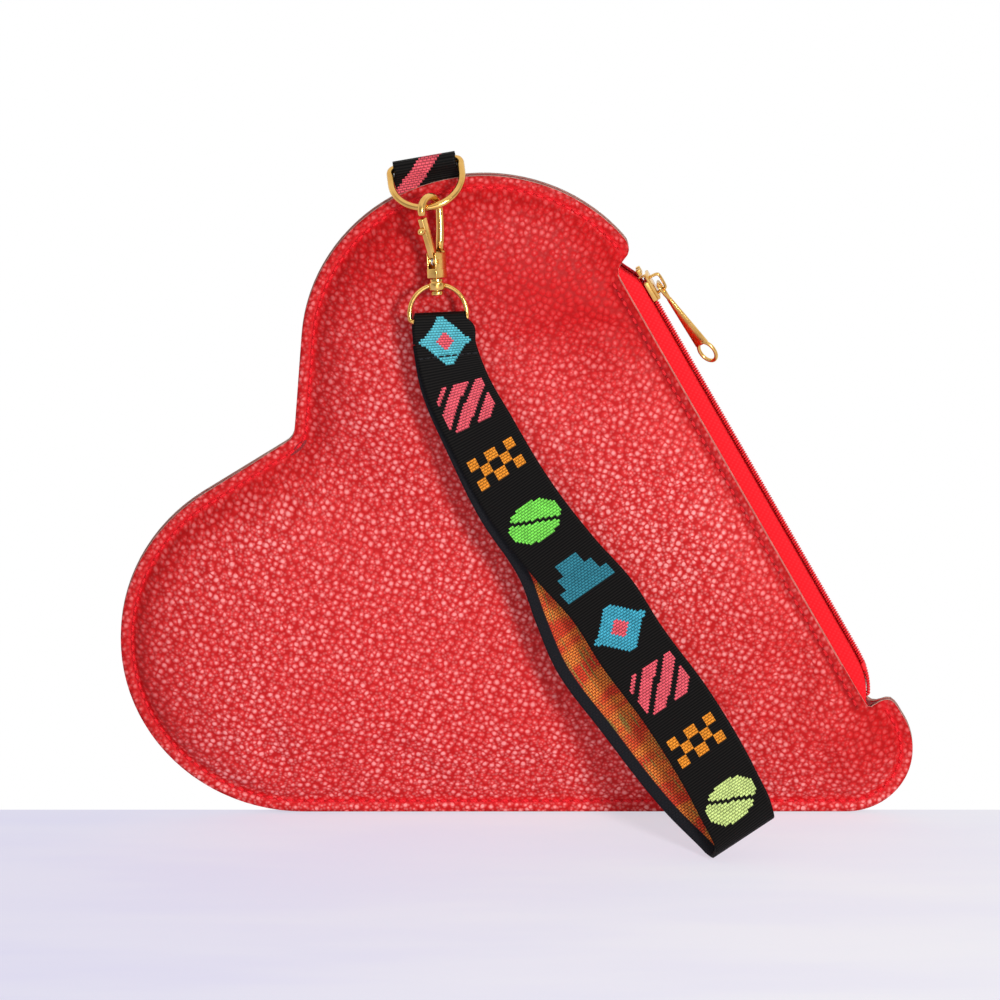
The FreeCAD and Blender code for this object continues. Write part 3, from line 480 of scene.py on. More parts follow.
def panel_sheet(name, rise, side, inset_skin, *finishes):
    """One crowned sheet, front or back; inset_skin moves it in behind another sheet."""
    mesh = bpy.data.meshes.new(name + "_flat")
    points = np.column_stack([flat_points, side * (HEM_TOP - inset_skin + rise)])
    mesh.from_pydata(points.tolist(), [], [face if side > 0 else face[::-1] for face in flat_faces])
    shape = bmesh.new()
    shape.from_mesh(mesh)
    bpy.data.meshes.remove(mesh)
    sheet = new_piece(name, shape, heart_frame, *finishes)
    # The fourth mark is the painted light mask for the grain's tops and reds.
    marks = (("seam", from_rows), ("zip_row", from_zip_row), ("mouth", from_mouth), ("light_and_flat_grain", lit_tops_and_flat_grain))
    for word, values in marks:
        marked = sheet.data.attributes.new(word, "FLOAT", "POINT")
        marked.data.foreach_set("value", values.astype(np.float32))
    return sheet


def thicken(piece, thickness, offset):
    """Gives a sheet its thickness, in millimetres."""
    wall = piece.modifiers.new("thickness", "SOLIDIFY")
    wall.thickness = thickness / 1000
    wall.offset = offset
    return wall


def belongs(piece, body, node=None):
    """Hangs a piece on the body that carries it, and hides the solid of model.glb that it stands for."""
    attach(piece, body)
    if node:
        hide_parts(node)


front_panel = panel_sheet("front_panel_skin", front_rise, 1, 0, pebbled_red, raw_edge)
back_panel = panel_sheet("back_panel_skin", back_rise, -1, 0, pebbled_red, raw_edge)
mouth_edge = (from_side > -MOUTH_DEPTH - 4) & (along_side > MOUTH_TOP - 4) & (along_side < MOUTH_LOW + 6)
for sheet, node, settle in (
    (front_panel, "front_panel", FRONT_SETTLE),
    (back_panel, "back_panel", BACK_SETTLE),
):
    cloth_settle(sheet, (from_seam < HEM_PINNED) | mouth_edge, settle)
    thicken(sheet, PANEL_THICKNESS, -1).material_offset_rim = 1
    belongs(sheet, "purse", node)

# Linings: plain woven cloth behind each panel, sewn into the same seam and to the zip tapes.
# They show only through the open mouth.
LINING_INSET = 1.35
LINING_THICKNESS = 0.3
LINING_DROP = 2.4
LINING_SHARE = 0.92
LINING_THREADS = 420.0
LINING_REDS = (0.22, 0.012, 0.016), (0.36, 0.02, 0.026)


def weave_group():
    """Plain weave: waves of warp and weft that cross."""
    group, entry = new_effect("plain_weave", Place="Vector", Warp="Float", Weft="Float")
    crossing = []
    for threads, axis in (("Warp", "X"), ("Weft", "Z")):
        sockets = {"Vector": entry["Place"], "Scale": entry[threads]}
        crossing.append(step(group, "TexWave", sockets, bands_direction=axis)["Fac"])
    return give_out(group, Weave=math_step(group, "MULTIPLY", *crossing))


plain_weave = weave_group()


def lining_finish():
    finish, tree, shader = new_finish("lining_weave", Sheen_Weight=0.2)
    sockets = {"Place": object_place(tree), "Warp": LINING_THREADS, "Weft": LINING_THREADS}
    weave = step(tree, "Group", sockets, node_tree=plain_weave)["Weave"]
    roughness = ramp(tree, weave, 0.0, 1.0, 0.9, 0.7)
    dress(tree, shader, mix(tree, weave, *LINING_REDS), roughness, weave, 0.0001)
    return finish


lining_weave = lining_finish()
for name, rise, side, node, panel in (
    ("front_lining_cloth", front_rise, 1, "front_lining", "front_panel_skin"),
    ("back_lining_cloth", back_rise, -1, "back_lining", "back_panel_skin"),
):
    lower = np.maximum(rise - LINING_DROP * (rise > 0.5), 0) * LINING_SHARE
    lining = panel_sheet(name, lower, side, LINING_INSET, lining_weave)
    thicken(lining, LINING_THICKNESS, -1)
    belongs(lining, "purse", node)

# Edge stitches: one row of tonal red thread, machine sewn through both hems three and a half
# millimetres in from the cut edge and pulled down into the fabric.
STITCH_PITCH = 3.1
STITCH_SIZE = (2.6, 1.05, 0.8)
# The needle hole's bead is a dark mark of painted shade.
NEEDLE_SHADE_SIZE = (0.8, 0.8, 0.4)
STITCH_LIFT = 0.0001
SEAM_CLEARANCE = 2.2
NEEDLE_START = 40
THREAD_REDS = (0.72, 0.008, 0.014), (0.95, 0.018, 0.03)
NEEDLE_SHADE_REDS = (0.50, 0.005, 0.008), (0.58, 0.007, 0.011)


def thread_group():
    """Twisted thread: slanting strands, smoother on top and painted lighter there as a highlight."""
    group, entry = new_effect("twisted_thread", Place="Vector", Dark="Color", Light="Color")
    strands = {"Vector": entry["Place"], "Scale": 700.0, "Distortion": 1.0}
    twist = step(group, "TexWave", strands, bands_direction="DIAGONAL")["Fac"]
    # The strands' crests take the lighter colour: painted highlight.
    colour = mix(group, twist, entry["Dark"], entry["Light"])
    return give_out(group, Colour=colour, Roughness=ramp(group, twist, 0.0, 1.0, 0.6, 0.42), Twist=twist)


twisted_thread = thread_group()


def thread_finish(name, dark, light):
    finish, tree, shader = new_finish(name, Specular_IOR_Level=0.2)
    sockets = {"Place": object_place(tree), "Dark": (*dark, 1), "Light": (*light, 1)}
    thread = step(tree, "Group", sockets, node_tree=twisted_thread)
    dress(tree, shader, thread["Colour"], thread["Roughness"], thread["Twist"], 0.00006)
    return finish


def surface_of(piece):
    return BVHTree.FromObject(piece, bpy.context.evaluated_depsgraph_get())


def bead(name, sizes, number):
    """A small rounded bead as a pattern mesh, with the number of its finish."""
    shape = bmesh.new()
    half = Matrix.Diagonal([length / 2000 for length in sizes] + [1])
    bmesh.ops.create_uvsphere(shape, u_segments=6, v_segments=6, radius=1, matrix=half)
    for face in shape.faces:
        face.material_index = number
    pattern = bpy.data.meshes.new(name)
    shape.to_mesh(pattern)
    shape.free()
    return pattern


stitch_bead = bead("stitch", STITCH_SIZE, 0)
needle_shade_bead = bead("hole", NEEDLE_SHADE_SIZE, 1)


def lay(shape, pattern, place):
    first = len(shape.verts)
    shape.from_mesh(pattern)
    shape.verts.ensure_lookup_table()
    for vert in shape.verts[first:]:
        vert.co = place @ vert.co


def stitch_row(shape, line, skin, side):
    """Lays one stitch between each two points of a flat line, on the skin, and after it a dark bead at the
    needle hole as painted shade.
    """
    out = heart_frame.to_3x3() @ Vector((0, 0, side)) * 1000
    for start, end in zip(line, line[1:]):
        for flat, pattern in (((start + end) / 2, stitch_bead), (end, needle_shade_bead)):
            hit, normal = skin.ray_cast(heart_frame @ Vector((*flat, side * NEEDLE_START)), -out)[:2]
            if hit is None:
                continue
            normal = normal if normal.dot(out) > 0 else -normal
            run = heart_frame.to_3x3() @ Vector((*(end - start), 0))
            run = (run - normal * run.dot(normal)).normalized()
            turn = Matrix((run, normal.cross(run), normal)).transposed().to_4x4()
            lay(shape, pattern, Matrix.Translation(hit + normal * STITCH_LIFT) @ turn)


red_thread = thread_finish("red_thread", *THREAD_REDS)
# The needle holes' dark red is painted shade.
hole_shade = thread_finish("painted_hole_shade", *NEEDLE_SHADE_REDS)
seam_line = heart_line(SEAM_INSET, STITCH_PITCH)
seam_clear = inside(seam_line, cut_edge) & (distance_to(seam_line, cut_edge) > SEAM_CLEARANCE)
mouth_first = -int(np.argmin(seam_clear))
seam_line = np.roll(seam_line, mouth_first, axis=0)[np.roll(seam_clear, mouth_first)]
skins = {1: surface_of(front_panel), -1: surface_of(back_panel)}
shape = bmesh.new()
for side, skin in skins.items():
    stitch_row(shape, seam_line, skin, side)
edge_stitches = new_piece("edge_stitches", shape, Matrix(), red_thread, hole_shade)
belongs(edge_stitches, "purse", "edge_thread")

# Zip tapes: two bright red woven tapes, sewn under the mouth's edges. Each comes out flat, turns
# over at its edge and carries a coil there; at both ends it tucks in under the hem.
TAPE_THICKNESS = 0.45
TAPE_OUT = -3.15
TAPE_SECTION = (
    (0, 1.05), (0, 3.3), (-0.18, 3.85), (-0.7, 4.2), (-2.4, 4.25), (-4.35, 4.3), (-6.6, 4.9), (-9.2, 6.0),
)
TAPE_START = -5.0
TAPE_END = 155.5
TAPE_SHARP = math.radians(60)
PARTING_END = 134.75
TOP_TUCK = 3.6
TOP_TUCK_RUN = (-5.5, 5.0)
LOW_TUCK = 4.4
LOW_TUCK_START = 136.0
LOW_TUCK_LENGTH = 18.0
TAPE_SLANT = -0.5007
TAPE_WARP = 260.0
TAPE_WEFT = 330.0
TAPE_REDS = (0.93, 0.012, 0.02), (1.0, 0.024, 0.034)


def tape_finish():
    finish, tree, shader = new_finish("zip_tape_red", Specular_IOR_Level=0.08)
    slanted = {"Vector": object_place(tree), "Rotation": (0, TAPE_SLANT, 0)}
    sockets = {"Place": step(tree, "Mapping", slanted)[0], "Warp": TAPE_WARP, "Weft": TAPE_WEFT}
    weave = step(tree, "Group", sockets, node_tree=plain_weave)["Weave"]
    roughness = ramp(tree, weave, 0.0, 1.0, 0.75, 0.55)
    dress(tree, shader, mix(tree, weave, *TAPE_REDS), roughness, weave, 0.00003)
    return finish


def tuck(x):
    """How far the zip lies in from its straight line: it tucks in at the top and at the bottom."""
    top = 1 - smooth_step(np.array(x), *TOP_TUCK_RUN)
    low = np.clip((np.array(x) - LOW_TUCK_START) / LOW_TUCK_LENGTH, 0, 1) ** 3.0
    return float(TOP_TUCK * top + LOW_TUCK * low)


def part_with_slider(piece):
    """Gives one side of the zip a mesh of its own."""
    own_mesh(piece)


zip_tape_red = tape_finish()
folds = len(TAPE_SECTION) - 1
for side, name, node in ((1, "front_tape", "zip_front_tape"), (-1, "back_tape", "zip_back_tape")):
    for start, end, part in ((TAPE_START, PARTING_END, "weave"), (PARTING_END, TAPE_END, "foot")):
        shape = bmesh.new()
        bmesh.ops.create_grid(shape, x_segments=round(end - start), y_segments=folds, size=0.5)
        for vert in shape.verts:
            x = start + (vert.co.x + 0.5) * (end - start)
            y, z = TAPE_SECTION[round((vert.co.y + 0.5) * folds)]
            inward = tuck(x) * max(0.0, 1 - y / TAPE_SECTION[-1][0])
            vert.co = (x, TAPE_OUT + y - inward, side * z)
        bmesh.ops.solidify(shape, geom=shape.faces[:], thickness=TAPE_THICKNESS)
        bmesh.ops.recalc_face_normals(shape, faces=shape.faces)
        tape = new_piece(name + "_" + part, shape, zip_frame, zip_tape_red)
        tape.data.set_sharp_from_angle(angle=TAPE_SHARP)
        belongs(tape, "purse", node if part == "weave" else None)
        if part == "weave":
            part_with_slider(tape)

# Zip coils: a fine red nylon filament, wound into a coil and sewn along each tape's edge. The turns
# of the two rows mesh into one chain where the slider has closed them.
COIL_PITCH = 0.8
COIL_OUT = -2.4
COIL_ACROSS = 1.0
COIL_HALF_HEIGHT = 0.42
COIL_HALF_WIDTH = 0.72
COIL_STEP = 36
FILAMENT = 0.26
COIL_START = 4.3
COIL_END = 153.0
COIL_REDS = (0.86, 0.012, 0.02), (1.0, 0.03, 0.04)


def wire(name, path, radius, place, *finishes, closed=False, sides=3, curved=False):
    """A round wire along a path of points, as a mesh in the part's frame."""
    curve = bpy.data.curves.new(name, "CURVE")
    curve.dimensions = "3D"
    curve.bevel_depth = radius
    curve.bevel_resolution = sides
    curve.use_fill_caps = not closed
    run = curve.splines.new("NURBS" if curved else "POLY")
    run.points.add(len(path) - 1)
    for point, at in zip(run.points, path):
        point.co = (*at, 1)
    run.use_cyclic_u = closed
    if curved:
        run.order_u = 3
        run.use_endpoint_u = not closed
        run.resolution_u = 6
    drawn = bpy.data.objects.new(name + "_line", curve)
    bpy.context.scene.collection.objects.link(drawn)
    mesh = bpy.data.meshes.new_from_object(drawn.evaluated_get(bpy.context.evaluated_depsgraph_get()))
    bpy.data.objects.remove(drawn)
    shape = bmesh.new()
    shape.from_mesh(mesh)
    bpy.data.meshes.remove(mesh)
    bmesh.ops.remove_doubles(shape, verts=shape.verts, dist=1e-4)
    bmesh.ops.recalc_face_normals(shape, faces=shape.faces)
    return new_piece(name, shape, place, *finishes)


def coil_finish():
    finish, tree, shader = new_finish("coil_red", Specular_IOR_Level=0.25)
    tone = step(tree, "TexNoise", {"Vector": object_place(tree), "Scale": 300.0})[0]
    roughness = ramp(tree, tone, 0.3, 0.7, 0.34, 0.5)
    dress(tree, shader, mix(tree, tone, *COIL_REDS), roughness, tone, 0.00003)
    return finish


coil_red = coil_finish()
for side, name, node in ((1, "front_coil", "zip_front_coil"), (-1, "back_coil", "zip_back_coil")):
    for start, end, part in ((COIL_START, PARTING_END, "filament"), (PARTING_END, COIL_END, "foot")):
        path = []
        for angle in np.arange(0, (end - start) / COIL_PITCH * 360, COIL_STEP):
            x = start + angle / 360 * COIL_PITCH + (0.5 * COIL_PITCH if side < 0 else 0)
            swing = math.radians(angle)
            y = COIL_OUT - tuck(x) + COIL_HALF_HEIGHT * math.sin(swing)
            path.append((x, y, side * (COIL_ACROSS - COIL_HALF_WIDTH * math.cos(swing))))
        coil = wire(name + "_" + part, path, FILAMENT, zip_frame, coil_red, sides=0)
        belongs(coil, "purse", node if part == "filament" else None)
        if part == "filament":
            part_with_slider(coil)

# Zip stops: a small gold clamp on each tape's edge at the top, and a moulded red block that joins
# the two coils at the bottom.
TOP_STOP_LENGTH = 2.2
TOP_STOP_OUT = (-3.1, -1.7)
TOP_STOP_ACROSS = (0.45, 1.95)
TOP_STOP_ROUNDING = 0.3
BOTTOM_STOP_LOW = (143.1, -3.05, -1.8)
BOTTOM_STOP_HIGH = (145.4, -1.8, 1.8)
BOTTOM_STOP_ROUNDING = 0.35
GOLD = (0.83, 0.50, 0.15), (0.66, 0.36, 0.09)
GOLD_POLISH = (0.13, 0.25)


def plating_group():
    """Plated metal: faint clouds in its colour and finer scratches in its polish."""
    group, entry = new_effect(
        "plating", Place="Vector", Bright="Color", Deep="Color", Smooth="Float", Scratched="Float"
    )
    cloud = step(group, "TexNoise", {"Vector": entry["Place"], "Scale": 160.0, "Detail": 3.0})[0]
    scratch = step(group, "TexNoise", {"Vector": entry["Place"], "Scale": 1400.0, "Detail": 2.0})[0]
    colour = mix(group, ramp(group, cloud, 0.35, 0.7), entry["Bright"], entry["Deep"])
    roughness = ramp(group, scratch, 0.3, 0.75, entry["Smooth"], entry["Scratched"])
    return give_out(group, Colour=colour, Roughness=roughness, Cloud=cloud)


plating = plating_group()


def metal_finish(name, bright, deep, smooth, scratched):
    finish, tree, shader = new_finish(name, Metallic=1.0)
    sockets = {
        "Place": object_place(tree), "Bright": (*bright, 1), "Deep": (*deep, 1),
        "Smooth": smooth, "Scratched": scratched,
    }
    plated = step(tree, "Group", sockets, node_tree=plating)
    dress(tree, shader, plated["Colour"], plated["Roughness"], plated["Cloud"], 0.00004)
    return finish


gold = metal_finish("warm_gold", *GOLD, *GOLD_POLISH)


def block(shape, low, high, taper=None):
    """A box between two corners, whose far end along x can be narrower; returns its corners."""
    size = Vector(high) - Vector(low)
    middle = (Vector(high) + Vector(low)) / 2
    place = Matrix.Translation(middle) @ Matrix.Diagonal((*size, 1))
    made = bmesh.ops.create_cube(shape, size=1, matrix=place)["verts"]
    if taper:
        for vert in made:
            if vert.co.x > middle.x:
                vert.co.y = middle.y + (vert.co.y - middle.y) * taper[0]
                vert.co.z = middle.z + (vert.co.z - middle.z) * taper[1]
    return made


def round_off(shape, width, segments=3, edges=None):
    """Rounds the given edges, or all of them."""
    bmesh.ops.bevel(
        shape, geom=edges or shape.edges, offset=width, offset_type="OFFSET", affect="EDGES",
        segments=segments, profile=0.5, material=-1, clamp_overlap=True,
    )


for side, name, node in ((1, "front_top_stop", "zip_top_stops"), (-1, "back_top_stop", None)):
    across = sorted(side * edge for edge in TOP_STOP_ACROSS)
    shape = bmesh.new()
    block(shape, *zip((0.0, TOP_STOP_LENGTH), TOP_STOP_OUT, across))
    round_off(shape, TOP_STOP_ROUNDING)
    top_stop = new_piece(name, shape, zip_frame, gold)
    belongs(top_stop, "purse", node)
    part_with_slider(top_stop)
shape = bmesh.new()
for vert in block(shape, BOTTOM_STOP_LOW, BOTTOM_STOP_HIGH):
    vert.co.y -= tuck(vert.co.x)
round_off(shape, BOTTOM_STOP_ROUNDING)
bottom_stop = new_piece("bottom_stop_block", shape, zip_frame, coil_red)
belongs(bottom_stop, "purse", "zip_bottom_stop")

# Zip stitches: a row of deeper red thread on each panel, machine sewn beside the mouth, that holds
# the tape and the lining under the mouth's edge.
ZIP_ROW = (-2.0, 156.0)
DEEP_THREAD_REDS = (0.60, 0.008, 0.012), (0.82, 0.018, 0.026)
# Darker painted shade for the needle holes along the zip.
DEEP_NEEDLE_SHADE_REDS = (0.28, 0.003, 0.005), (0.38, 0.005, 0.008)
deep_thread = thread_finish("deep_red_thread", *DEEP_THREAD_REDS)
deep_shade = thread_finish("deep_painted_hole_shade", *DEEP_NEEDLE_SHADE_REDS)
zip_row = np.array([on_side(x, -ZIP_ROW_INSET) for x in np.arange(*ZIP_ROW, STITCH_PITCH)])
for side, word in ((1, "front"), (-1, "back")):
    shape = bmesh.new()
    stitch_row(shape, zip_row, skins[side], side)
    row = new_piece(word + "_zip_stitches", shape, Matrix(), deep_thread, deep_shade)
    belongs(row, "purse", word + "_zip_thread")

# Slider: a cast body, gold plated, of two wings joined by a post, wider where it takes in the parted
# coils, with a bent bail on top that the pull hangs from.
SLIDER_AT = 7.0
SLIDER_HALF = 4.2
SLIDER_HALF_WIDTH = 3.4
SLIDER_NARROWING = (1, 0.74)
SLIDER_ROUNDING = 0.28
WINGS_OUT = (-1.4, -0.4), (-5.0, -4.0)
SLIDER_POST_END = -3.6
SLIDER_POST_OUT = (-4.2, -1.2)
SLIDER_POST_HALF = 0.6
FLANGE_RUN = (-2.6, 4.0)
FLANGE_OUT = (-2.7, -1.2)
FLANGE_INNER = 2.35
FLANGE_NARROWING = (1, 0.9)
BAIL_WIRE = 0.45
BAIL_FLATTENED = 1.7
BAIL_HALF = ((2.7, -0.5), (2.7, 1.3), (2.5, 2.2), (1.6, 2.45))
slider_frame = zip_frame @ Matrix.Translation((SLIDER_AT, 0, 0))
shape = bmesh.new()
for low, high in WINGS_OUT:
    wing_low = (-SLIDER_HALF, low, -SLIDER_HALF_WIDTH)
    block(shape, wing_low, (SLIDER_HALF, high, SLIDER_HALF_WIDTH), SLIDER_NARROWING)
block(shape, *zip((-SLIDER_HALF, SLIDER_POST_END), SLIDER_POST_OUT, (-SLIDER_POST_HALF, SLIDER_POST_HALF)))
for side in (-1, 1):
    flange = zip(FLANGE_RUN, FLANGE_OUT, sorted((side * FLANGE_INNER, side * SLIDER_HALF_WIDTH)))
    block(shape, *flange, FLANGE_NARROWING)
round_off(shape, SLIDER_ROUNDING)
slider = new_piece("slider_body", shape, slider_frame, gold)
belongs(slider, "slider", "zip_slider")
bail_path = [(-x, y, 0) for x, y in BAIL_HALF] + [(x, y, 0) for x, y in reversed(BAIL_HALF)]
bail_frame = slider_frame @ Matrix.Diagonal((1, 1, BAIL_FLATTENED, 1))
bail = wire("slider_bail", bail_path, BAIL_WIRE, bail_frame, gold, curved=True)
belongs(bail, "slider", "zip_bail")

# Pull: a thin bar of gold plated metal that hangs from the bail by an open eye, widens downwards,
# and ends in an oval ring for a finger or a cord.
PULL_LIFT = math.radians(6)
PULL_ROLL = math.radians(-62)
EYE_WIRE = 0.5
EYE_HALF = ((0, 1.95), (1.2, 2.1), (3.6, 1.8), (5.6, 0.75))
EYE_END = (6.2, 0, 0)
BLADE_LOW = (5.6, -0.5, -2.3)
BLADE_HIGH = (23.6, 0.5, 2.3)
NECK_END = 8
NECK_SHARE = 0.28
BLADE_ROUNDING = 0.22
PULL_RING_AT = 26.3
PULL_RING_HALF = (3.4, 2.5)
PULL_RING_WIRE = 0.6
PULL_RING_STEPS = 28
pull_frame = frame_of((43.97535, MIDDLE_Y, 88.19856), *ZIP_AXES) @ Matrix.Rotation(PULL_LIFT, 4, "Z")
eye_path = [(0, 0, -EYE_HALF[0][1])] + [(x, 0, z) for x, z in EYE_HALF] + [EYE_END]
eye_path += [(x, 0, -z) for x, z in reversed(EYE_HALF[1:])]
eye = wire("pull_eye", eye_path, EYE_WIRE, pull_frame, gold, closed=True)
blade_frame = pull_frame @ Matrix.Rotation(PULL_ROLL, 4, "X")
shape = bmesh.new()
for vert in block(shape, BLADE_LOW, BLADE_HIGH):
    if vert.co.x < NECK_END:
        vert.co.z *= NECK_SHARE
round_off(shape, BLADE_ROUNDING)
blade = new_piece("pull_bar", shape, blade_frame, gold)
turns = np.linspace(0, math.tau, PULL_RING_STEPS, endpoint=False)
long_half, short_half = PULL_RING_HALF
ring_path = [(PULL_RING_AT + long_half * math.cos(t), 0, short_half * math.sin(t)) for t in turns]
ring = wire("pull_ring", ring_path, PULL_RING_WIRE, blade_frame, gold, closed=True)
for piece, node in ((eye, None), (blade, "zip_pull"), (ring, None)):
    belongs(piece, "pull", node)

# Hanger tab: a short fold of black webbing with one slanting stripe, sewn into the seam at the top
# of the zip's lobe, round the straight bar of the D-ring.
WEAVE_CELL = 0.8
TAB_WIDTH = 19.0
TAB_FLAT = 20.5
TAB_LAYER = 0.9
TAB_ROLL = 1.9
TAB_RUN = 15.0
TAB_LENGTH = 2 * TAB_RUN + math.pi * TAB_ROLL
TAB_BAR = 6.0
TAB_HALF_GAP = 0.475
TAB_PINCH = (1.0, 6.0)
TAB_FLARE = (1.5, 5.5)
STRIPE_SLANT = 0.9
STRIPE_MIDDLE = TAB_RUN + 5
STRIPE_EDGES = (-2.9, 3.5)
NO_THREAD = (0, 0, 0, 0)
CORAL = (0.98, 0.13, 0.17, 1)
# Black of the ground, lighter on the rib crests as a painted highlight.
GROUND_AND_RIB_HIGHLIGHT_BLACKS = (0.001, 0.001, 0.001), (0.010, 0.0085, 0.0075)
WRONG_SIDE_REDS = (0.80, 0.06, 0.025), (0.96, 0.27, 0.045)
WRONG_SIDE_OLIVE = (0.34, 0.27, 0.06)
WRONG_SIDE_GAP = (0.24, 0.03, 0.015)
MARGIN_BLACK = (0.012, 0.012, 0.015)
MARGIN = (7.0, 7.6)
tab_frame = frame_of(
    (-25.46015, MIDDLE_Y, 120.39477), (0.98375, 0, 0.17956), (-0.17956, 0, 0.98375), TOWARDS_FRONT
)
tab_to_mm = Matrix.Scale(1000, 4) @ tab_frame


def jacquard_group():
    """Jacquard weave: ribs across the band and the small net of floats between them."""
    group, entry = new_effect("jacquard", Weave="Vector")
    x, y, _ = step(group, "SeparateXYZ", {0: entry["Weave"]})
    ribs = math_step(group, "SINE", math_step(group, "MULTIPLY", y, math.tau / WEAVE_CELL))
    row = math_step(group, "FLOOR", math_step(group, "DIVIDE", y, WEAVE_CELL))
    across = math_step(group, "MULTIPLY", x, math.tau / (1.5 * WEAVE_CELL))
    across = math_step(group, "ADD", across, math_step(group, "MULTIPLY", row, math.pi))
    floats = ramp(group, math_step(group, "SINE", across), -1.0, -0.7)
    net = math_step(group, "MULTIPLY", ramp(group, ribs, -0.95, -0.4), floats)
    return give_out(group, Across=x, Ribs=ribs, Net=net)


jacquard = jacquard_group()


def webbing_finish(name):
    """A webbing's material with its place along the band and its weave."""
    finish, tree, shader = new_finish(name, Specular_IOR_Level=0.08)
    weave = step(tree, "UVMap", {}, uv_map="weave")[0]
    return finish, tree, shader, weave, step(tree, "Group", {"Weave": weave}, node_tree=jacquard)


def outer_webbing():
    """The band's right side: floats in the motifs' own colours over a ribbed black ground whose rib crests
    carry a painted highlight.
    """
    finish, tree, shader, weave, woven = webbing_finish("webbing_outer")
    ribs, net = woven["Ribs"], woven["Net"]
    motif = painted(tree, "motif")
    coloured = ramp(tree, motif["Alpha"], 0.4, 0.6)
    # Rib crests take the lighter black: painted highlight.
    ground = mix(tree, ramp(tree, ribs, -1.0, 1.0), *GROUND_AND_RIB_HIGHLIGHT_BLACKS)
    shade = step(tree, "TexNoise", {"Vector": weave, "Scale": 0.35})[0]
    value = ramp(tree, shade, 0.3, 0.7, 0.86, 1.08)
    bright = step(tree, "HueSaturation", {"Color": motif["Color"], "Value": value})[0]
    slit = step(tree, "HueSaturation", {"Color": bright, "Value": 0.42})[0]
    colour = mix(tree, coloured, ground, mix(tree, net, slit, bright))
    raised = math_step(tree, "MULTIPLY", net, 1.3)
    ribbed = math_step(tree, "MULTIPLY", ribs, 0.35)
    height = step(tree, "Math", {0: coloured, 1: raised, 2: ribbed}, operation="MULTIPLY_ADD")[0]
    dress(tree, shader, colour, ramp(tree, net, 0.0, 1.0, 0.52, 0.36), height, 0.00014)
    return finish


def streaked(tree, place, stretch, scale, detail):
    """Noise drawn out along one way of the cloth."""
    drawn_out = step(tree, "Mapping", {"Vector": place, "Scale": stretch})[0]
    return step(tree, "TexNoise", {"Vector": drawn_out, "Scale": scale, "Detail": detail})[0]


def inner_webbing():
    """The band's wrong side: loose orange and red floats with olive streaks inside a black margin."""
    finish, tree, shader, weave, woven = webbing_finish("webbing_inner")
    net = woven["Net"]
    streaks = streaked(tree, weave, (1.3, 0.09, 1.0), 1.0, 2.0)
    bands = streaked(tree, weave, (0.05, 0.16, 1.0), 1.0, 2.0)
    warm = mix(tree, ramp(tree, bands, 0.4, 0.6), *WRONG_SIDE_REDS)
    colour = mix(tree, ramp(tree, streaks, 0.53, 0.66), warm, WRONG_SIDE_OLIVE)
    colour = mix(tree, ramp(tree, net, 0.25, 0.85), WRONG_SIDE_GAP, colour)
    margin = ramp(tree, math_step(tree, "ABSOLUTE", woven["Across"]), *MARGIN)
    colour = mix(tree, margin, colour, MARGIN_BLACK)
    dress(tree, shader, colour, ramp(tree, net, 0.0, 1.0, 0.7, 0.5), net, 0.00016)
    return finish


def band(name, width, length, point_at, colour_at, layer):
    """A woven band: a grid of weave cells laid along a path, each cell with its thread's colour."""
    shape = bmesh.new()
    across, rows = round(width / WEAVE_CELL), round(length / WEAVE_CELL)
    bmesh.ops.create_grid(shape, x_segments=across, y_segments=rows, size=0.5)
    uv = shape.loops.layers.uv.new("weave")
    motif = shape.loops.layers.float_color.new("motif")
    for face in shape.faces:
        middle = face.calc_center_median()
        colour = colour_at(middle.x * width, (middle.y + 0.5) * length)
        for loop in face.loops:
            loop[uv].uv = (loop.vert.co.x * width, (loop.vert.co.y + 0.5) * length)
            loop[motif] = colour
    for vert in shape.verts:
        vert.co = point_at(vert.co.x, (vert.co.y + 0.5) * length)
    bmesh.ops.reverse_faces(shape, faces=shape.faces)
    made = new_piece(name, shape, Matrix.Scale(0.001, 4), webbing_outer, webbing_inner)
    thicken(made, layer, 0).material_offset = 1
    return made


webbing_outer = outer_webbing()
webbing_inner = inner_webbing()


def tab_point(share, along):
    """The fold: up the back, round the ring's bar, and down the front."""
    rolled = along - TAB_RUN
    past_bar = rolled - math.pi * TAB_ROLL
    y, side = (TAB_BAR - past_bar, 1) if past_bar > 0 else (TAB_BAR + rolled, -1)
    pinch = float(smooth_step(np.array(y), *TAB_PINCH))
    flare = 1 + (TAB_FLAT / TAB_WIDTH - 1) * (1 - float(smooth_step(np.array(y), *TAB_FLARE)))
    z = side * (TAB_HALF_GAP + pinch * (TAB_ROLL - TAB_HALF_GAP))
    if rolled > 0 >= past_bar:
        y = TAB_BAR + TAB_ROLL * math.sin(rolled / TAB_ROLL)
        z = -TAB_ROLL * math.cos(rolled / TAB_ROLL)
    return tab_to_mm @ Vector((share * TAB_WIDTH * flare, y, z))


def tab_colour(x, along):
    cell = round((x + STRIPE_SLANT * (along - STRIPE_MIDDLE)) / WEAVE_CELL) * WEAVE_CELL
    return CORAL if STRIPE_EDGES[0] < cell < STRIPE_EDGES[1] else NO_THREAD


tab = band("hanger_tab_webbing", TAB_WIDTH, TAB_LENGTH, tab_point, tab_colour, TAB_LAYER)
belongs(tab, "purse", "hanger_tab")

